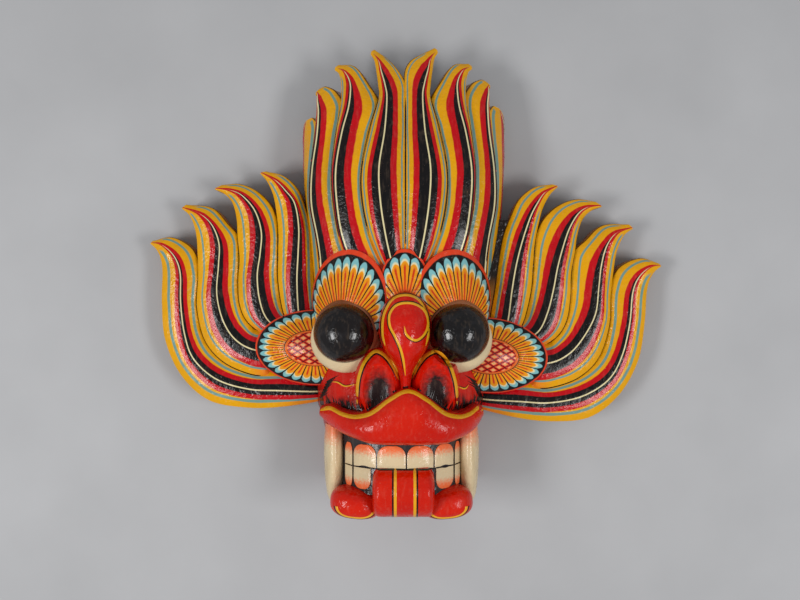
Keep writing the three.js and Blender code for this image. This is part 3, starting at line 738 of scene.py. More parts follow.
def loft(name, rings, plan, slots, materials, cap=0):
    """Skin over closed rings, with fan caps at both ends."""
    rings = np.asarray(rings, float)
    plan = np.asarray(plan, float)
    rows, count = rings.shape[:2]
    points = np.vstack([rings.reshape(-1, 3), rings[0].mean(axis=0), rings[-1].mean(axis=0)])
    values = np.vstack([plan.reshape(-1, 3), plan[0].mean(axis=0), plan[-1].mean(axis=0)])
    faces = []
    numbers = []
    for r in range(rows - 1):
        for k in range(count):
            a = r * count + k
            b = r * count + (k + 1) % count
            faces.append((a, b, b + count, a + count))
            numbers.append(slots[k])
    last = (rows - 1) * count
    for k in range(count):
        faces.append((rows * count, (k + 1) % count, k))
        faces.append((rows * count + 1, last + k, last + (k + 1) % count))
        numbers += [cap, cap]
    return mesh_of(name, points, faces, values, numbers, materials)


def combined(base, others, operation):
    """The base joined with the others, or cut by them, as one new mesh."""
    if not others:
        return base
    group = bpy.data.collections.new("operands")
    bpy.context.scene.collection.children.link(group)
    for other in others:
        group.objects.link(other)
    cut = base.modifiers.new("join", "BOOLEAN")
    cut.operation = operation
    cut.solver = "MANIFOLD"
    cut.operand_type = "COLLECTION"
    cut.collection = group
    cut.material_mode = "TRANSFER"
    graph = bpy.context.evaluated_depsgraph_get()
    ready = base.evaluated_get(graph)
    mesh = bpy.data.meshes.new_from_object(ready, preserve_all_data_layers=True, depsgraph=graph)
    base.modifiers.remove(cut)
    for other in others:
        bpy.data.objects.remove(other)
    bpy.data.collections.remove(group)
    base.data = mesh
    return base


def copy_of(thing, shift=(0, 0, 0)):
    made = thing.copy()
    made.data = thing.data.copy()
    bpy.context.scene.collection.objects.link(made)
    made.data.transform(Matrix.Translation(Vector(shift) * MM))
    return made


def on_crown(x, y, height):
    """A point over the crown's front, going on down the straight side past the block's half width."""
    x, y, height = np.broadcast_arrays(*(np.asarray(v, float) for v in (x, y, height)))
    middle = smooth(BLOCK_MIDDLE, y)
    half = smooth(BLOCK_HALF_WIDTH, y)
    depth = smooth(BLOCK_FRONT, y) - BLOCK_SIDE_HEIGHT
    share = np.clip((x - middle) / half, -1, 1)
    drop = np.clip(np.abs(x - middle) - half, 0, BLOCK_SIDE_HEIGHT)
    turn = np.arcsin(share)
    normal = np.stack([np.sin(turn) / half, np.cos(turn) / depth])
    normal = normal / np.linalg.norm(normal, axis=0)
    return joined(
        middle + half * np.sin(turn) + height * normal[0],
        y,
        BLOCK_SIDE_HEIGHT + depth * np.cos(turn) + height * normal[1] - drop,
    )


def wing_front(x):
    return WING_FRONT_AT_ROOT - WING_FRONT_SLOPE * (np.abs(x) - WING_ROOT_X)


def wing_back(x):
    return WING_BACK_AT_ROOT - WING_BACK_SLOPE * (np.abs(x) - WING_ROOT_X)


def on_wing(x, y, height):
    return joined(x, y, wing_front(x) + height)


def wing_underside(x, y):
    return on_wing(x, y, wing_back(x) - wing_front(x))


def flame(name, stations, place, back, materials, relief=1.0, squeeze=(1.0, 1.0)):
    """A flame lofted from its stations; its plan is side, share of the length, and mm from the crest.

    A squeeze under 1 draws the stripes of the outer or the inner side closer to the crest.
    """
    outer, crest, inner = (curve([s[n] for s in stations], FLAME_ROWS) for n in range(3))
    u = (1 - np.cos(np.linspace(0, math.pi, FLAME_ACROSS))) / 2
    rings = []
    plans = []
    for i in range(FLAME_ROWS):
        along = i / (FLAME_ROWS - 1)
        width = np.linalg.norm(outer[i] - inner[i])
        size = min(1, width / FLAME_FULL_WIDTH) * relief
        share = np.clip((along + 0.01) / (FLAME_ROOT_SHARE + 0.01), 0, 1)
        rise = share * share * (3 - 2 * share)
        half_way = u < 0.5
        t = np.where(half_way, 2 * u, 2 * u - 1)[:, None]
        start = np.where(half_way[:, None], outer[i], crest[i])
        end = np.where(half_way[:, None], crest[i], inner[i])
        flat = start + (end - start) * t
        bulge = FLAME_OUTER_LIP * (1 - u) - FLAME_INNER_DROP * u + FLAME_BULGE * np.sin(math.pi * u) ** 0.8
        height = -FLAME_ROOT_DEPTH + (size * bulge + FLAME_ROOT_DEPTH) * rise
        top = place(flat[:, 0], flat[:, 1], height)
        feet = back(*np.array([inner[i], crest[i], outer[i]]).T)
        walls_in = [top[-1] + (feet[0] - top[-1]) * s for s in (0.06, 0.5)]
        walls_out = [feet[2] + (top[0] - feet[2]) * s for s in (0.5, 0.94)]
        rings.append(np.vstack([top, walls_in, feet, walls_out]))
        side = np.concatenate([2 * u - 1, [1.1, 1.3, 1.5, 0, -1.5, -1.3, -1.1]])
        reach = np.where(side < 0, np.linalg.norm(crest[i] - outer[i]), np.linalg.norm(crest[i] - inner[i]))
        off = np.abs(side)
        drawn = np.minimum(off, 1) ** np.where(side < 0, *squeeze) + np.maximum(off - 1, 0)
        plans.append(joined(np.sign(side) * drawn, along, off * reach))
    slots = ring_slots((FLAME_ACROSS + 1, 0), (3, 1), (3, 0))
    slots[FLAME_ACROSS + 1] = 0
    return loft(name, rings, plans, slots, materials, cap=1)


def crown_stations(form, side):
    """A crown flame's stations on the left, or mirrored and grown to the right side's proportions."""
    if side < 0:
        return form["stations"]
    tip = form["stations"][-1][0][1]
    placed = []
    for station in form["stations"]:
        row = []
        for line, (x, y) in enumerate(station):
            rise = form["rise"] * min(max((y - CROWN_RISE_FROM) / (tip - CROWN_RISE_FROM), 0), 1)
            swell = math.sin(math.pi * min(max((y - CROWN_FULLER_FROM) / (tip - CROWN_FULLER_FROM), 0), 1))
            row.append([-x * CROWN_RIGHT_WIDTH, y + rise + (form["fuller"] * swell if line == 2 else 0)])
        placed.append(row)
    return placed


def crown_back(x, y):
    return on_crown(x, y, -CROWN_THICKNESS)


def crown_flames(side, materials):
    made = []
    for form in CROWN_FLAMES:
        stations = crown_stations(form, side)
        shape = (form["relief"], form["squeeze"])
        made.append(flame("crown_flame", stations, on_crown, crown_back, materials, *shape))
    return made


def block_loft(name, start, end, rows, inset, front, side_height, floor, materials, floor_slot):
    turn = np.linspace(0, math.pi, BLOCK_RING + 1)
    across = np.sign(np.cos(turn)) * np.abs(np.cos(turn)) ** (2 / BLOCK_FULLNESS)
    up = np.maximum(np.sin(turn), 0) ** (2 / BLOCK_FULLNESS)
    rings = []
    for y in np.linspace(start, end, rows):
        middle = smooth(BLOCK_MIDDLE, y)
        half = smooth(BLOCK_HALF_WIDTH, y) - inset
        height = side_height + (front(y) - side_height) * up
        arc = joined(middle + half * across, y, height)
        right, left = arc[0].copy(), arc[-1].copy()
        right[2] = left[2] = floor
        rings.append(np.vstack([right, arc, left]))
    slots = ring_slots((BLOCK_RING + 2, 0), (1, floor_slot))
    return loft(name, rings, rings, slots, materials)


def dome(name, form, place, materials, x=None):
    """A low fan on an oval base; its plan is the place across and up it, out of 1 at the rim."""
    turn = np.linspace(0, 2 * math.pi, DOME_STEPS, endpoint=False)
    middle = form["x"] if x is None else x

    def ring(share, height):
        flat_x = middle + share * form["half_width"] * np.cos(turn)
        flat_y = form["y"] + share * form["half_height"] * np.sin(turn) + (1 - share) * form["peak_y"]
        return place(flat_x, flat_y, height)

    shares = np.linspace(1, 0.02, DOME_RINGS) ** 0.8
    rise = form["top"] - form["rim"]
    rings = [ring(1, form["base"])] + [ring(s, form["rim"] + rise * (1 - s * s)) for s in shares]
    rim = joined(np.cos(turn), np.sin(turn), 0)
    plans = [s * rim for s in [1, *shares]]
    return loft(name, rings, plans, [0] * DOME_STEPS, materials)


def ellipsoid(name, x, form, materials):
    """A ball stretched to an ellipsoid; its plan is the place on the unit ball, x towards the face's axis."""
    lat = np.linspace(-math.pi / 2, math.pi / 2, BALL_STEPS // 2 + 1)[1:-1]
    lon = np.linspace(0, 2 * math.pi, BALL_STEPS, endpoint=False)
    unit = joined(
        np.cos(lat)[:, None] * np.cos(lon),
        np.cos(lat)[:, None] * np.sin(lon),
        np.sin(lat)[:, None],
    )
    filled = unit.copy()
    filled[..., :2] = np.sign(unit[..., :2]) * np.abs(unit[..., :2]) ** form.get("square", 1)
    flat = filled * [form["half_width"], form["half_height"], form["depth"]]
    turn = form.get("turn", 0)
    turned = joined(
        flat[..., 0] * math.cos(turn) - flat[..., 1] * math.sin(turn),
        flat[..., 0] * math.sin(turn) + flat[..., 1] * math.cos(turn),
        flat[..., 2],
    )
    inward = unit * [-1 if x > FACE_AXIS else 1, 1, 1]
    return loft(name, turned + [x, form["y"], form["z"]], inward, [0] * BALL_STEPS, materials)


def both_sides(make, name, form, materials, middle=FACE_AXIS):
    """The same form left and right of an axis."""
    left = {**form, "turn": -form.get("turn", 0)}
    return [
        make(f"{name}_left", middle - form["x"], left, materials),
        make(f"{name}_right", middle + form["x"], form, materials),
    ]


def nose(material):
    turn = np.linspace(0, math.pi, NOSE_RING)
    rings = []
    for y, half, height in curve(NOSE_ROWS, NOSE_ROW_COUNT):
        rise = (height - NOSE_BASE) * np.maximum(np.sin(turn), 0) ** 0.7
        rings.append(joined(NOSE_X + half * np.cos(turn), y, NOSE_BASE + rise))
    return loft("nose", rings, rings, [0] * NOSE_RING, [material])


def lip_across(x):
    """The lip's bow leans to one side of the face's axis, its corners don't."""
    return FACE_AXIS + x + LIP_LEAN * (1 - (x / LIP_ROWS[-1][0]) ** 4)


def upper_lip(material):
    rows = [[-x, *rest] for x, *rest in LIP_ROWS[:0:-1]] + LIP_ROWS
    turn = np.linspace(0, math.pi, LIP_RING)
    rings = []
    for x, upper, lower, height in curve(rows, LIP_ROW_COUNT):
        y = (upper + lower) / 2 + (upper - lower) / 2 * np.cos(turn)
        z = height - LIP_ROOT + LIP_ROOT * np.maximum(np.sin(turn), 0) ** 0.75
        front = joined(lip_across(x), y, z)
        root = [[lip_across(0.9 * x), edge, height - 2 * LIP_ROOT] for edge in (lower + 1, upper - 1)]
        rings.append(np.vstack([front, root]))
    return loft("upper_lip", rings, rings, [0] * (LIP_RING + 2), [material])


def teeth_arc(x):
    share = np.minimum(1, np.abs(x - FACE_AXIS) / TEETH_HALF_WIDTH)
    return TEETH_EDGE + (TEETH_FRONT - TEETH_EDGE) * np.sqrt(1 - share**2.4)


def teeth_wall(material):
    x = FACE_AXIS - TEETH_HALF_WIDTH * np.cos(np.linspace(0, math.pi, TEETH_ACROSS))
    rings = []
    for y in np.linspace(TEETH_BOTTOM, TEETH_TOP, TEETH_ROW_COUNT):
        front = joined(x, y, teeth_arc(x))
        back = [[FACE_AXIS + side * TEETH_HALF_WIDTH, y, TEETH_BACK] for side in (1, -1)]
        rings.append(np.vstack([front, back]))
    return loft("teeth_wall", rings, rings, [0] * (TEETH_ACROSS + 2), [material])


def tooth(name, span, low, high, root_up, material):
    middle = (span[0] + span[1]) / 2
    half = (span[1] - span[0]) / 2 - TOOTH_GAP / 2
    outline = curve(TOOTH_OUTLINE, TOOTH_RING)
    centre = np.array([0, 0.5])
    rings = []
    plans = []
    for rise, size in TOOTH_STEPS:
        lift = rise * TOOTH_RELIEF
        flat = centre + (outline - centre) * size
        x = middle + half * flat[:, 0]
        root = np.clip(flat[:, 1], 0, 1)
        y = low + (high - low) * root if root_up else high - (high - low) * root
        rings.append(joined(x, y, teeth_arc(x) + lift))
        plans.append(joined(flat[:, 0], root, lift))
    return loft(name, rings, plans, [0] * TOOTH_RING, [material])


def teeth(bone):
    upper = [
        tooth(f"upper_tooth_{n}", span, BITE_LINE + BITE_GAP / 2, UPPER_GUM, True, bone)
        for n, span in enumerate(UPPER_TEETH)
    ]
    lower = [
        tooth(f"lower_tooth_{n}", span, LOWER_GUM, BITE_LINE - BITE_GAP / 2, False, bone)
        for n, span in enumerate(LOWER_TEETH)
    ]
    return upper + lower


def tusk(name, x, form, materials):
    turn = np.linspace(0, 2 * math.pi, TUSK_RING, endpoint=False)
    rings = []
    plans = []
    for share, wide, deep in curve(TUSK_ROWS, TUSK_ROW_COUNT):
        y = form["top"] + (form["bottom"] - form["top"]) * share
        across = x + form["half_width"] * wide * np.cos(turn)
        up = form["z"] + form["half_depth"] * deep * np.sin(turn)
        rings.append(joined(across, y, up))
        plans.append(joined(turn, share, up))
    return loft(name, rings, plans, [0] * TUSK_RING, materials)


def tongue(material):
    profile = curve(TONGUE_PROFILE, TONGUE_RING)
    rings = []
    for angle in np.linspace(-math.pi / 2, math.pi / 2, TONGUE_ROW_COUNT):
        side = math.sin(angle)
        bend = max(0, (abs(side) - 0.75) / 0.25)
        size = 0.68 + 0.32 * math.sqrt(1 - bend * bend)
        flat = TONGUE_MIDDLE + (profile - TONGUE_MIDDLE) * size
        rings.append(joined(TONGUE_X + TONGUE_HALF_WIDTH * side, flat[:, 0], flat[:, 1]))
    return loft("tongue", rings, rings, [0] * TONGUE_RING, [material])


def wing_board(materials):
    outline = WING_BOARD_OUTLINE
    count = len(outline)
    top = [[x, y, wing_front(x) - GROOVE_DEPTH] for x, y in outline]
    low = [[x, y, wing_back(x)] for x, y in outline]
    faces = [tuple(range(count)), tuple(range(2 * count - 1, count - 1, -1))]
    faces += [(k, k + count, (k + 1) % count + count, (k + 1) % count) for k in range(count)]
    slots = [0, 1] + [0] * count
    return mesh_of("wing_board", top + low, faces, top + low, slots, materials)


def ball_at_eye(radius, flat=1, lift=0):
    """An ellipsoid's form round the middle of an eye, or lifted above it."""
    place = {"x": EYE["x"], "y": EYE["y"], "z": EYE["z"] + lift}
    return place | {"half_width": radius, "half_height": radius * flat, "depth": radius}


def brow_fan(name, x, form, materials):
    return dome(name, form, on_crown, materials, x)


def carved_head(paints):
    """The whole head as one solid, before it is hollowed."""
    socket = ball_at_eye(EYE_SOCKET, lift=EYE_SOCKET_LIFT)
    ball = ball_at_eye(EYE["radius"], EYE["flat"])
    striped = [paints["crown"], paints["wood"]]
    block = block_loft(
        "head", BLOCK_BOTTOM, BLOCK_TOP, BLOCK_ROWS, BLOCK_INSET,
        lambda y: smooth(BLOCK_FRONT, y) - GROOVE_DEPTH,
        BLOCK_SIDE_HEIGHT, 0, [paints["skin"], paints["wood"]], 1,
    )
    fans = both_sides(brow_fan, "brow_fan", BROW_FAN, [paints["brow"]])
    fans.append(dome("middle_fan", MIDDLE_FAN, on_crown, [paints["middle"]]))
    raised = crown_flames(-1, striped) + crown_flames(1, striped) + fans
    raised += both_sides(ellipsoid, "nostril", NOSTRIL, [paints["skin_plain"]], NOSTRIL_AXIS)
    combined(block, raised, "UNION")
    combined(block, both_sides(ellipsoid, "socket", socket, [paints["rim"]]), "DIFFERENCE")
    features = both_sides(ellipsoid, "eye_rim", EYE_RIM, [paints["rim"]])
    features += both_sides(ellipsoid, "lid", LID, [paints["lid"]])
    features += both_sides(ellipsoid, "eye", ball, [paints["eye"]])
    features.append(nose(paints["skin_plain"]))
    combined(block, features, "UNION")
    holes = both_sides(ellipsoid, "nostril_hole", NOSTRIL_HOLE, [paints["nostril"]], NOSTRIL_AXIS)
    combined(block, holes, "DIFFERENCE")
    mouth = [upper_lip(paints["lip"]), teeth_wall(paints["ground"]), tongue(paints["lip"])]
    mouth += teeth(paints["tooth"])
    mouth += both_sides(tusk, "tusk", TUSK, [paints["tusk"]])
    mouth += both_sides(ellipsoid, "lower_lip", LOWER_LIP, [paints["lip"]])
    return combined(block, mouth, "UNION")


def leaning_out(stations, lean):
    """The crests of the right wing lean outwards on the upper part of each flame."""
    last = len(stations) - 1
    placed = []
    for k, (outer, crest, inner) in enumerate(stations):
        share = min(max((k / last - CREST_LEAN_FROM) / (1 - CREST_LEAN_FROM), 0), 1)
        shift = lean * math.sin(math.pi * share)
        placed.append([outer, [c + shift * (o - c) for o, c in zip(outer, crest)], inner])
    return placed


def whole_wing(flames, paints):
    striped = [paints["wing"], paints["wood"]]
    wing = wing_board([paints["wing_ground"], paints["wood"]])
    parts = [
        flame(
            f"wing_flame_{n}", stations, on_wing, wing_underside, striped,
            squeeze=OUTERMOST_SQUEEZE if n == 0 else WING_SQUEEZE,
        )
        for n, stations in enumerate(flames)
    ]
    parts.append(dome("rosette", ROSETTE, on_wing, [paints["rosette"]]))
    combined(wing, parts, "UNION")
    return combined(wing, [dome("rosette_heart", ROSETTE_HEART, on_wing, [paints["heart"]])], "UNION")


def on_right(x, y):
    """Plan places on the left wing, mirrored, then turned and shifted as the right wing is."""
    across = ROSETTE["x"] - x
    up = y - ROSETTE["y"]
    cos, sin = math.cos(RIGHT_WING_TURN), math.sin(RIGHT_WING_TURN)
    return (
        -ROSETTE["x"] + RIGHT_WING_SHIFT[0] + cos * across - sin * up,
        ROSETTE["y"] + RIGHT_WING_SHIFT[1] + sin * across + cos * up,
    )


def to_right(wing):
    flat = np.empty(3 * len(wing.data.vertices), np.float32)
    wing.data.vertices.foreach_get("co", flat)
    place = flat.reshape(-1, 3) / MM
    place[:, 0], place[:, 1] = on_right(place[:, 0].copy(), place[:, 1].copy())
    wing.data.vertices.foreach_set("co", (place * MM).ravel())
    wing.data.flip_normals()


def fitted(wing, head):
    """A wing cut to the side of the head, with the clearance all round."""
    c = WING_CLEARANCE
    for shift in ((c, 0, 0), (-c, 0, 0), (0, c, 0), (0, -c, 0), (0, 0, c), (0, 0, -c)):
        combined(wing, [copy_of(head, shift)], "DIFFERENCE")
    return wing


def shade(thing):
    for face in thing.data.polygons:
        face.use_smooth = True
    thing.data.set_sharp_from_angle(angle=math.radians(SHARP_ANGLE))


def surface_of(things):
    """All faces of the carving, to lay lines on."""
    points = []
    faces = []
    for thing in things:
        start = len(points)
        points += [v.co.copy() for v in thing.data.vertices]
        faces += [tuple(start + v for v in face.vertices) for face in thing.data.polygons]
    return BVHTree.FromPolygons(points, faces)


def stroke(points, width, ground, offset=0.0, taper=(0.15, 0.15), lift=BRUSH_LIFT):
    """A brush line laid on the carving: rows of points, or None where the brush leaves the wood."""
    length = np.linalg.norm(np.diff(np.asarray(points, float), axis=0), axis=1).sum()
    line = curve(points, max(6, int(length / BRUSH_STEP)))
    away = np.gradient(line, axis=0)
    away = joined(-away[:, 1], away[:, 0]) / np.linalg.norm(away, axis=1)[:, None]
    share = np.linspace(0, 1, len(line))
    start = np.clip(share / max(taper[0], 1e-6), 0, 1) ** 0.6
    end = np.clip((1 - share) / max(taper[1], 1e-6), 0, 1) ** 0.6
    half = np.maximum(width / 2 * start * end, FINEST_HALF_WIDTH)
    rows = []
    for place, side, reach in zip(line, away, half):
        row = []
        for across in BRUSH_ROW:
            flat = (place + side * (offset + across * reach)) * MM
            hit, away_from, _, _ = ground.ray_cast(Vector((*flat, LOOK_DOWN_FROM)), Vector((0, 0, -1)))
            if hit is not None:
                row.append(tuple(hit / MM + away_from * (lift if abs(across) < 1 else EDGE_TUCK)))
        good = len(row) == len(BRUSH_ROW) and max(p[2] for p in row) - min(p[2] for p in row) < 7 + width
        rows.append(row if good else None)
    return rows


def brushwork(name, strokes, material):
    """One mesh of all strokes of a colour."""
    points = []
    faces = []
    for rows in strokes:
        before = None
        for row in rows:
            if row is None:
                before = None
                continue
            here = len(points)
            points += row
            if before is not None and abs(points[before + 2][2] - row[2][2]) < LARGEST_STEP:
                for a, b in zip(range(before, here), range(here, here + len(BRUSH_ROW) - 1)):
                    faces.append((a, a + 1, b + 1, b))
            before = here
    mesh = bpy.data.meshes.new(name)
    mesh.from_pydata((np.asarray(points) * MM).tolist(), [], faces)
    mesh.materials.append(material)
    made = bpy.data.objects.new(name, mesh)
    bpy.context.scene.collection.objects.link(made)
    for face in mesh.polygons:
        face.use_smooth = True
    return made


def band(line, across, away, width):
    """Rows of points for a line that follows a known surface: its points, its breadth and its outward way."""
    lifts = [BAND_LIFT if abs(share) < 1 else EDGE_TUCK for share in BRUSH_ROW]
    return [
        [tuple(p + a * width * share / 2 + n * lift) for share, lift in zip(BRUSH_ROW, lifts)]
        for p, a, n in zip(line, across, away)
    ]


def tongue_band(x, width):
    flat = curve(TONGUE_PROFILE, 70)[4:-4]
    along = np.gradient(flat, axis=0)
    along = along / np.linalg.norm(along, axis=1)[:, None]
    line = joined(x, flat[:, 0], flat[:, 1])
    away = joined(0, along[:, 1], -along[:, 0])
    away = away * np.sign(((line - [x, *TONGUE_MIDDLE]) * away).sum(axis=1))[:, None]
    across = np.tile([1.0, 0, 0], (len(flat), 1))
    return band(line, across, away, width)


def lip_band(side, lift_angle, width):
    """A line round the lower edge of a lower lip, at an angle up from its waist."""
    form = LOWER_LIP
    lon = np.radians(np.linspace(-172, -20, 60) if side < 0 else np.linspace(-160, -8, 60))
    lat = math.radians(lift_angle)
    unit = joined(math.cos(lat) * np.cos(lon), math.cos(lat) * np.sin(lon), math.sin(lat))
    filled = unit.copy()
    filled[:, :2] = np.sign(unit[:, :2]) * np.abs(unit[:, :2]) ** form["square"]
    flat = filled * [form["half_width"], form["half_height"], form["depth"]]
    turn = side * form["turn"]
    spin = np.array([[math.cos(turn), math.sin(turn), 0], [-math.sin(turn), math.cos(turn), 0], [0, 0, 1]])
    line = flat @ spin + [FACE_AXIS + side * form["x"], form["y"], form["z"]]
    away = unit @ spin
    along = np.gradient(line, axis=0)
    across = np.cross(away, along)
    across = across / np.linalg.norm(across, axis=1)[:, None]
    return band(line, across, away, width)


def trimmed(line, shares):
    """The stretch of a line between two shares of it."""
    return line[int(len(line) * shares[0]):int(len(line) * shares[1])]


def groove_lines(ground):
    """Dark lines in the grooves between neighbouring flames."""
    made = [stroke(CROWN_PARTING, 1.5, ground, taper=(0.02, 0.1), lift=INK_LIFT)]
    for side in (-1, 1):
        edges = []
        for form in CROWN_FLAMES[:3]:
            edge = curve([station[0] for station in crown_stations(form, side)], 100)
            edges.append(trimmed(on_crown(edge[:, 0], edge[:, 1], 0)[:, :2], CROWN_GROOVE))
        for stations in WING_FLAMES[1:]:
            edge = curve([station[0] for station in stations], 100)
            placed = edge if side < 0 else np.column_stack(on_right(edge[:, 0], edge[:, 1]))
            edges.append(trimmed(placed, WING_GROOVE))
        for edge in edges:
            made.append(stroke(edge, 1.6, ground, offset=-0.4 * side, taper=(0.02, 0.25), lift=INK_LIFT))
    return made


def nose_rim():
    """Round the bulb of the nose, a little inside its edge."""
    right = [[NOSE_X + x, y] for x, y in NOSE_RIM]
    left = [[NOSE_X - x, y] for x, y in NOSE_RIM[:0:-1]]
    return left + right


def lip_line():
    """Just below the upper edge of the lip, from corner to corner."""
    left = [[lip_across(-x), upper - 2.2] for x, upper, _, _ in LIP_ROWS[:0:-1]]
    right = [[lip_across(x), upper - 2.2] for x, upper, _, _ in LIP_ROWS]
    return left + right


def spikes(ground):
    """Short tapering soot strokes above the lip and in the corners of the cheeks."""
    made = []
    for side in (-1, 1):
        for n in range(SPIKES):
            reach = 17 + 46 * n / (SPIKES - 1) + rand.uniform(-0.8, 0.8)
            x = lip_across(side * reach)
            lip = float(np.interp(reach, [row[0] for row in LIP_ROWS], [row[1] for row in LIP_ROWS]))
            lean = side * rand.uniform(0.5, 3.5)
            tall = rand.uniform(3.5, 8)
            path = [[x, lip - 0.5], [x + lean / 2, lip + tall / 2], [x + lean, lip + tall]]
            made.append(stroke(path, rand.uniform(1.2, 2.2), ground, taper=(0.05, 0.9), lift=INK_LIFT))
        for n in range(CHEEK_SPIKES):
            x = FACE_AXIS + side * (69 - 1.2 * n)
            y = -100 + 2.4 * n
            path = [[x, y], [x - side * 4, y + 3], [x - side * rand.uniform(7, 11), y + 7]]
            made.append(stroke(path, 2.2, ground, taper=(0.05, 0.9), lift=INK_LIFT))
    return made


def painted_lines(ground):
    """The gold and ink outlines of the face and the grooves between the flames."""
    gold = []
    ink = []
    for path, gold_width, gold_taper, ink_width, ink_offset, ink_taper in (
        (NOSE_CURL, 2.1, (0.08, 0.08), 1.0, -1.35, (0.2, 0.1)),
        (nose_rim(), 2.2, (0.06, 0.06), 1.0, 1.5, (0.1, 0.1)),
        (LEFT_ARCH, 2.8, (0.12, 0.1), 1.3, -1.9, (0.2, 0.2)),
        (RIGHT_ARCH, 2.8, (0.1, 0.12), 1.3, -1.9, (0.2, 0.2)),
        (lip_line(), 3.0, (0.05, 0.05), 2.0, 2.4, (0.05, 0.05)),
        (LEFT_CHEEK_WAVE, 1.3, (0.3, 0.5), 0.7, 0.9, (0.3, 0.5)),
        (RIGHT_CHEEK_WAVE, 1.3, (0.5, 0.3), 0.7, 0.9, (0.5, 0.3)),
    ):
        gold.append(stroke(path, gold_width, ground, taper=gold_taper))
        ink.append(stroke(path, ink_width, ground, ink_offset, ink_taper))
    bite = [[x, BITE_LINE] for x in (UPPER_TEETH[0][0], 0, UPPER_TEETH[-1][1])]
    ink.append(stroke(bite, 1.2, ground, taper=(0.02, 0.02)))
    for side in (-1, 1):
        middle = TONGUE_X + 1.2 + 7.5 * side
        gold.append(tongue_band(middle, 2.4))
        ink.append(tongue_band(middle + 1.9 * side, 1.4))
        gold.append(lip_band(side, 50, 2.8))
        ink.append(lip_band(side, 41, 1.8))
    return gold, ink + spikes(ground) + groove_lines(ground)


def table_top():
    """The pale table that the mask lies on."""
    bpy.ops.mesh.primitive_plane_add(size=TABLE_SIZE)
    floor = bpy.context.object
    floor.name = "table_top"
    paint = Paint("table_grey")
    clouds = paint.mask(paint.noise(9, 5.0), 0.3, 0.8)
    colour = paint.mix(clouds, srgb(0.67, 0.67, 0.675), srgb(0.635, 0.635, 0.64))
    paint.tree.links.new(colour, paint.shader.inputs["Base Color"])
    paint.shader.inputs["Roughness"].default_value = 0.75
    floor.data.materials.append(paint.material)


def softbox(name, place, power):
    data = bpy.data.lights.new(name, "AREA")
    data.shape = "RECTANGLE"
    data.size, data.size_y = SOFTBOX_SIZE
    data.energy = power
    lamp = bpy.data.objects.new(name, data)
    lamp.location = place
    lamp.rotation_euler = (-Vector(place)).to_track_quat("-Z", "Y").to_euler()
    bpy.context.scene.collection.objects.link(lamp)


def studio():
    """Two softboxes beside the camera and a soft grey surround."""
    for name, (place, power) in SOFTBOXES.items():
        softbox(name, place, power)
    world = bpy.data.worlds.new("studio")
    world.use_nodes = True
    world.node_tree.nodes["Background"].inputs[0].default_value = SURROUND_COLOUR
    world.node_tree.nodes["Background"].inputs[1].default_value = SURROUND_STRENGTH
    bpy.context.scene.world = world
    bpy.context.scene.view_settings.view_transform = "Standard"


def camera():
    """Looks straight down, as in the photograph."""
    data = bpy.data.cameras.new("camera")
    data.sensor_width = SENSOR
    data.lens = SENSOR * CAMERA_HEIGHT / (FRAME_WIDTH * MM_PER_PIXEL)
    eye = bpy.data.objects.new("camera", data)
    eye.location = (CAMERA_AIM[0] * MM, CAMERA_AIM[1] * MM, CAMERA_HEIGHT * MM)
    bpy.context.scene.collection.objects.link(eye)
    bpy.context.scene.camera = eye


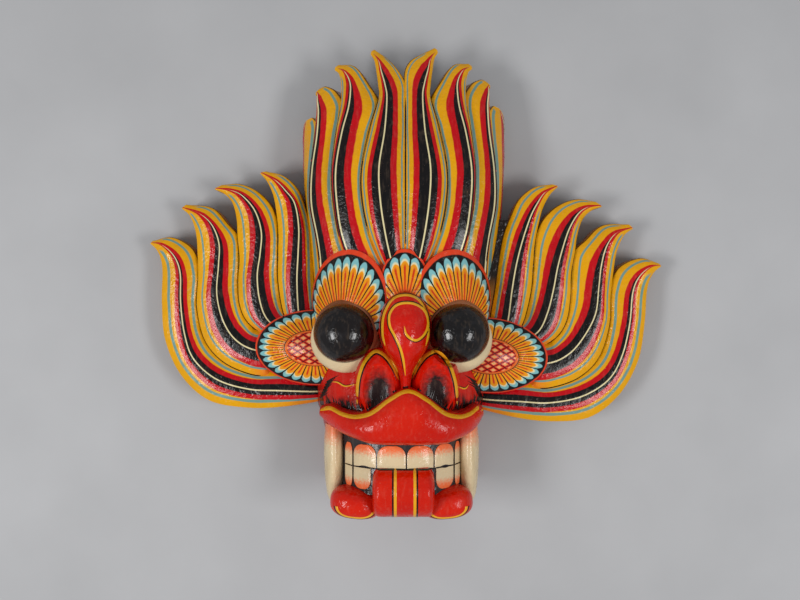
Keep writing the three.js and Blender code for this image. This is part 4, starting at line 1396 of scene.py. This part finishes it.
paints = {
    "crown": flame_paint(
        "crown_stripes",
        [(0.0, 0.45), (0.3, 0.42), (0.55, 0.32), (0.75, 0.18), (0.88, 0.0)],
        [(0.0, 0.68), (0.3, 0.64), (0.6, 0.55), (0.8, 0.42), (0.93, 0.14), (0.98, 0.0)],
        0.82, 0.62,
    ),
    "wing": flame_paint(
        "wing_stripes",
        [(0.0, 0.46), (0.25, 0.38), (0.55, 0.26), (0.75, 0.16), (0.88, 0.0)],
        [(0.0, 0.72), (0.25, 0.60), (0.55, 0.50), (0.8, 0.34), (0.99, 0.2)],
        0.72, 0.85,
    ),
    "brow": petal_paint("brow_petals", BROW_PETALS, 0.90, 0.93, srgb(0.84, 0.24, 0.07)),
    "middle": petal_paint("middle_petals", MIDDLE_PETALS, 0.91, 0.94, srgb(0.84, 0.24, 0.07)),
    "rosette": petal_paint("rosette_petals", ROSETTE_PETALS, 0.925, 0.965, PETAL_ORANGE),
    "heart": heart_paint(),
    "skin": skin_paint(),
    "skin_plain": plain_paint("nose_red", VERMILION, srgb(0.74, 0.05, 0.01)),
    "lip": plain_paint("lip_red", srgb(0.81, 0.11, 0.0), srgb(0.73, 0.06, 0.0)),
    "rim": socket_paint(),
    "ground": plain_paint("teeth_ground", TOOTH_GROUND, srgb(0.10, 0.09, 0.09)),
    "wing_ground": wing_ground_and_gap_shadow_paint(),
    "nostril": nostril_paint(),
    "lid": lid_paint(),
    "tooth": tooth_paint(),
    "tusk": tusk_paint(),
    "eye": eye_paint(),
    "wood": wood_paint(),
}

camera()
studio()
table_top()

head = carved_head(paints)
wing_left = whole_wing(WING_FLAMES, paints)
wing_right = whole_wing([leaning_out(form, lean) for form, lean in zip(WING_FLAMES, CREST_LEANS)], paints)
to_right(wing_right)
fitted(wing_left, head)
fitted(wing_right, head)
hollow = block_loft(
    "hollow", HOLLOW_BOTTOM, HOLLOW_TOP, HOLLOW_ROWS, SIDE_WALL, lambda y: smooth(HOLLOW_FRONT, y),
    HOLLOW_SIDE_HEIGHT, HOLLOW_FLOOR, [paints["wood"]], 0,
)
combined(head, [hollow], "DIFFERENCE")

ground = surface_of([head, wing_left, wing_right])
gold_strokes, ink_strokes = painted_lines(ground)
gold_paint = plain_paint("line_gold", GOLD_LINE, YELLOW, wear=0.2)
ink_paint = plain_paint("line_ink", BLACK, srgb(0.12, 0.04, 0.03), wear=0.1)
gold_lines = brushwork("gold_lines", gold_strokes, gold_paint)
ink_lines = brushwork("ink_lines", ink_strokes, ink_paint)

for thing, name, node, slot in (
    (head, "painted_head", "mask_head", "head_lacquer"),
    (wing_left, "painted_left_wing", "left_ear_wing", "wing_lacquer"),
    (wing_right, "painted_right_wing", "right_ear_wing", "wing_lacquer"),
):
    thing.name = name
    shade(thing)
    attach(thing, "root")
    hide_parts(node)
    print(name, "triangles", sum(len(face.vertices) - 2 for face in thing.data.polygons))

for lines in (gold_lines, ink_lines):
    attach(lines, "root")
